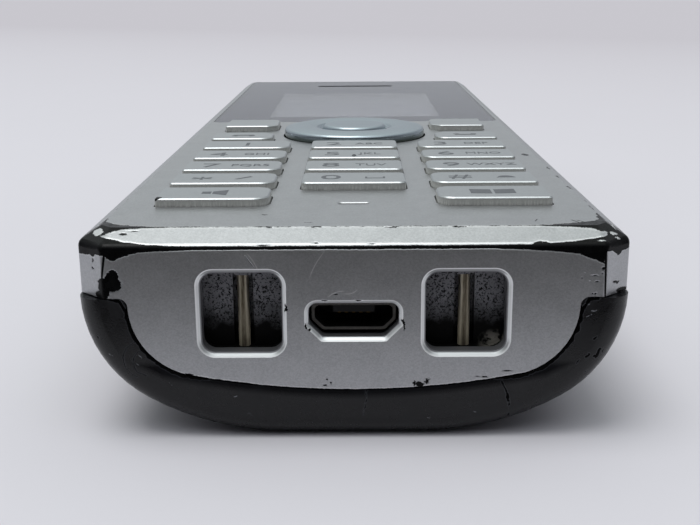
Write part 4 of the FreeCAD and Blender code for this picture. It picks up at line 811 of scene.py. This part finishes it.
# Letters beside each digit
words_on = {"1": "", "2": "ABC", "3": "DEF", "4": "GHI", "5": "JKL", "6": "MNO", "7": "PQRS", "8": "TUV",
    "9": "WXYZ"}
# Drawn marks: outlines of X and Y in mm about the middle of the key
drawn_on = {
    "star": [[(1.1, -0.7), (1.5, -0.75), (2.9, 0.55), (2.6, 0.85)]],
    "0": [[(1.2, -0.6), (3.3, -0.6), (3.3, -0.35), (1.2, -0.35)],
        [(1.2, -0.35), (1.42, -0.35), (1.42, 0.25), (1.2, 0.25)],
        [(3.08, -0.35), (3.3, -0.35), (3.3, 0.25), (3.08, 0.25)]],
    "hash": [[(1.4, -0.5), (3.4, -0.5), (3.1, 0.15), (2.7, 0.5), (2.1, 0.5), (1.7, 0.15)]],
    "handsfree": [[(-1.25, -0.5), (-0.35, -0.5), (-0.35, 0.5), (-1.25, 0.5)],
        [(-0.2, -0.5), (1.25, -1.3), (1.25, 1.3), (-0.2, 0.5)]],
    "directory": [[(-2.2, -0.9), (-0.15, -1.1), (-0.15, 0.9), (-2.2, 1.1)],
        [(0.15, -1.1), (2.2, -0.9), (2.2, 1.1), (0.15, 0.9)]],
    "talk": [[(-1.6, -0.5), (-0.9, -0.75), (-0.7, -0.2), (0.7, -0.2), (0.9, -0.75), (1.6, -0.5),
        (1.3, 0.5), (-1.3, 0.5)]],
    "off": [[(-1.6, 0.5), (-1.3, -0.5), (1.3, -0.5), (1.6, 0.5), (0.9, 0.75), (0.7, 0.2),
        (-0.7, 0.2), (-0.9, 0.75)]]}
# Typed signs: the sign, how far above the middle of the key it stands, and its stretch along X
signs_on = {"star": ("*", -0.6, 1.6), "0": ("0", 0.2, 1.45), "hash": ("#", 0.3, 1.25)}
for key in list(words_on) + list(drawn_on):
    low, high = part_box("key_" + key)
    middle_x = (low[0] + high[0]) * 500
    middle_y = (low[1] + high[1]) * 500
    bm = bmesh.new()
    if key in words_on:
        add_words(bm, key, digit_height, middle_x - (0 if key == "1" else digit_left), middle_y, digit_stretch)
        if words_on[key]:
            add_words(bm, words_on[key], letter_height, middle_x + letters_right, middle_y)
    elif key in signs_on:
        sign, lift, stretch = signs_on[key]
        add_words(bm, sign, digit_height, middle_x - sign_left, middle_y + lift, stretch)
    for outline in drawn_on.get(key, []):
        outline = [((middle_x + px) / 1000, (middle_y + py) / 1000) for px, py in outline]
        add_prism(bm, outline, ink_low / 1000, ink_high / 1000)
    if key == "5":
        # the raised pip that thumbs find the five by
        pip_place = Matrix.Translation((middle_x / 1000, (middle_y - 1.9) / 1000, 0.01989))
        bmesh.ops.create_cone(bm, cap_ends=True, segments=20, radius1=0.0003, radius2=0.00015, depth=0.0002,
            matrix=pip_place)
    add_piece("legend_" + key, bm, key_ink, "key_" + key)


# Navigation ring and centre key: moulded domes in cool silver paint with a brighter turned rim.
# The ring rocks on its carrier, and the centre key drops in through it.
nav_silver, tree, shader = new_material("cool_silver_paint_on_ring", Metallic=0.95)
place = in_mm(tree)
z = node(tree, "SeparateXYZ", place).outputs["Z"]
tone = node(tree, "Mix RGBA", flakes(tree, place), "#9fa9b0", "#a8b2b8")
# its foot, down in the gap of the plate, is painted darker: painted shade
foot_shade = node(tree, "MapRange", z, From_Min=19.2, From_Max=19.6, To_Min=1.0, To_Max=0.0)
feed(tree, shader.inputs["Base Color"], node(tree, "Mix RGBA", foot_shade, tone, "#5e6661"))
# the rim was turned bright
feed(tree, shader.inputs["Roughness"], node(tree, "MapRange", z, From_Min=19.75, From_Max=20.0, To_Min=0.17,
    To_Max=0.34))
dress("nav_ring nav_centre", nav_silver)


# Table and light: a pale matt table under a broad ceiling light, with a darker room towards the camera.
# The table and a dark card are the stage, and no part of the phone.
table_size = 30
table_colour = "#d9d6dc"
sun_from = Vector((-0.2, -0.06, 1.0))
bpy.ops.mesh.primitive_plane_add(size=1)
table = bpy.context.object
table.name = "table"
table.data.transform(Matrix.Scale(table_size, 4))
table_top, tree, shader = new_material("matt_table", Roughness=0.9, Specular_IOR_Level=0.0)
paper = node(tree, "TexNoise", in_mm(tree), Scale=0.02, Detail=3.0)
tone = node(tree, "Mix RGBA", paper, table_colour, "#d7d4da")
# the table is painted greyer over 600 mm towards the far right: painted shade where the light falls off
far_right_shade = node(tree, "VectorMath DOT_PRODUCT", in_mm(tree), (0.5, 0.8, 0))
far_right_shade = node(tree, "MapRange", far_right_shade, From_Max=600.0)
feed(tree, shader.inputs["Base Color"], node(tree, "Mix RGBA", far_right_shade, tone, "#c6c1c7"))
table.data.materials.append(table_top)

lamp = bpy.data.lights.new("softbox", "SUN")
lamp.energy = 1.15
lamp.angle = math.radians(36)
add_object("softbox", lamp).rotation_euler = sun_from.to_track_quat("Z", "Y").to_euler()

# A dark card lies in front, out of the picture: the painted end mirrors it like the dim side of a room.
bm = bmesh.new()
add_prism(bm, [(-0.4, -0.9), (0.4, -0.9), (0.4, -0.1), (-0.4, -0.1)], 0.0002, 0.0006)
card_mesh = bpy.data.meshes.new("dark_card")
bm.to_mesh(card_mesh)
bm.free()
card, tree, shader = new_material("dark_card", Base_Color="#2e2823", Roughness=0.9)
card_mesh.materials.append(card)
card_object = add_object("dark_card", card_mesh)
card_object.visible_camera = False
card_object.visible_shadow = False
card_object.visible_diffuse = False

room = bpy.data.worlds.new("room")
bpy.context.scene.world = room
room.use_nodes = True
tree = room.node_tree
backdrop = tree.nodes["Background"]
across, along, above = node(tree, "SeparateXYZ", node(tree, "TexCoord").outputs["Generated"]).outputs
wall = node(tree, "MapRange", along, From_Min=-0.75, From_Max=0.9, To_Min=0.06, To_Max=0.54)
overhead = node(tree, "Math MULTIPLY_ADD", along, 0.3, above)
overhead = node(tree, "Math MULTIPLY_ADD", across, -0.15, overhead)
ceiling = node(tree, "MapRange", overhead, From_Min=0.45, From_Max=0.95)
shade = node(tree, "Mix", ceiling, wall, 0.98)
# a brighter panel hangs overhead, a little towards the camera
panel = node(tree, "MapRange", node(tree, "Math MULTIPLY_ADD", along, -0.8, above), From_Min=0.88,
    From_Max=1.05)
panel = node(tree, "Math MULTIPLY", panel, node(tree, "MapRange", above, From_Min=0.6, From_Max=0.78))
shade = node(tree, "Math MULTIPLY_ADD", panel, 0.72, shade)
feed(tree, backdrop.inputs["Color"], node(tree, "Mix RGBA", ceiling, "#eef2fa", "#f0f8f5"))
seen = node(tree, "LightPath").outputs["Is Camera Ray"]
feed(tree, backdrop.inputs["Strength"], node(tree, "Mix", seen, shade, 0.68))


# Camera: low in front of the charging end, a little above the plate, as the photograph was taken.
# Its angles, place and focal length in pixels were solved from the edges and key rows in the photograph.
pitch, yaw, roll = math.radians(15.16), math.radians(-0.44), math.radians(-0.388)
focal_pixels = 1020
picture_width = 700
sensor_width = 36
forward = Vector((math.sin(yaw) * math.cos(pitch), math.cos(yaw) * math.cos(pitch), -math.sin(pitch)))
level_right = Vector((math.cos(yaw), -math.sin(yaw), 0))
level_up = level_right.cross(forward)
right = math.cos(roll) * level_right + math.sin(roll) * level_up
up = -math.sin(roll) * level_right + math.cos(roll) * level_up
camera = bpy.data.cameras.new("camera")
camera.sensor_width = sensor_width
camera.lens = focal_pixels / picture_width * sensor_width
camera.clip_start = 0.01
camera_object = add_object("camera", camera)
stand = Matrix((right, up, -forward)).transposed().to_4x4()
stand.translation = Vector((0.00036, -0.15707, 0.03929))
camera_object.matrix_world = stand
bpy.context.scene.camera = camera_object
bpy.context.scene.view_settings.view_transform = "Standard"
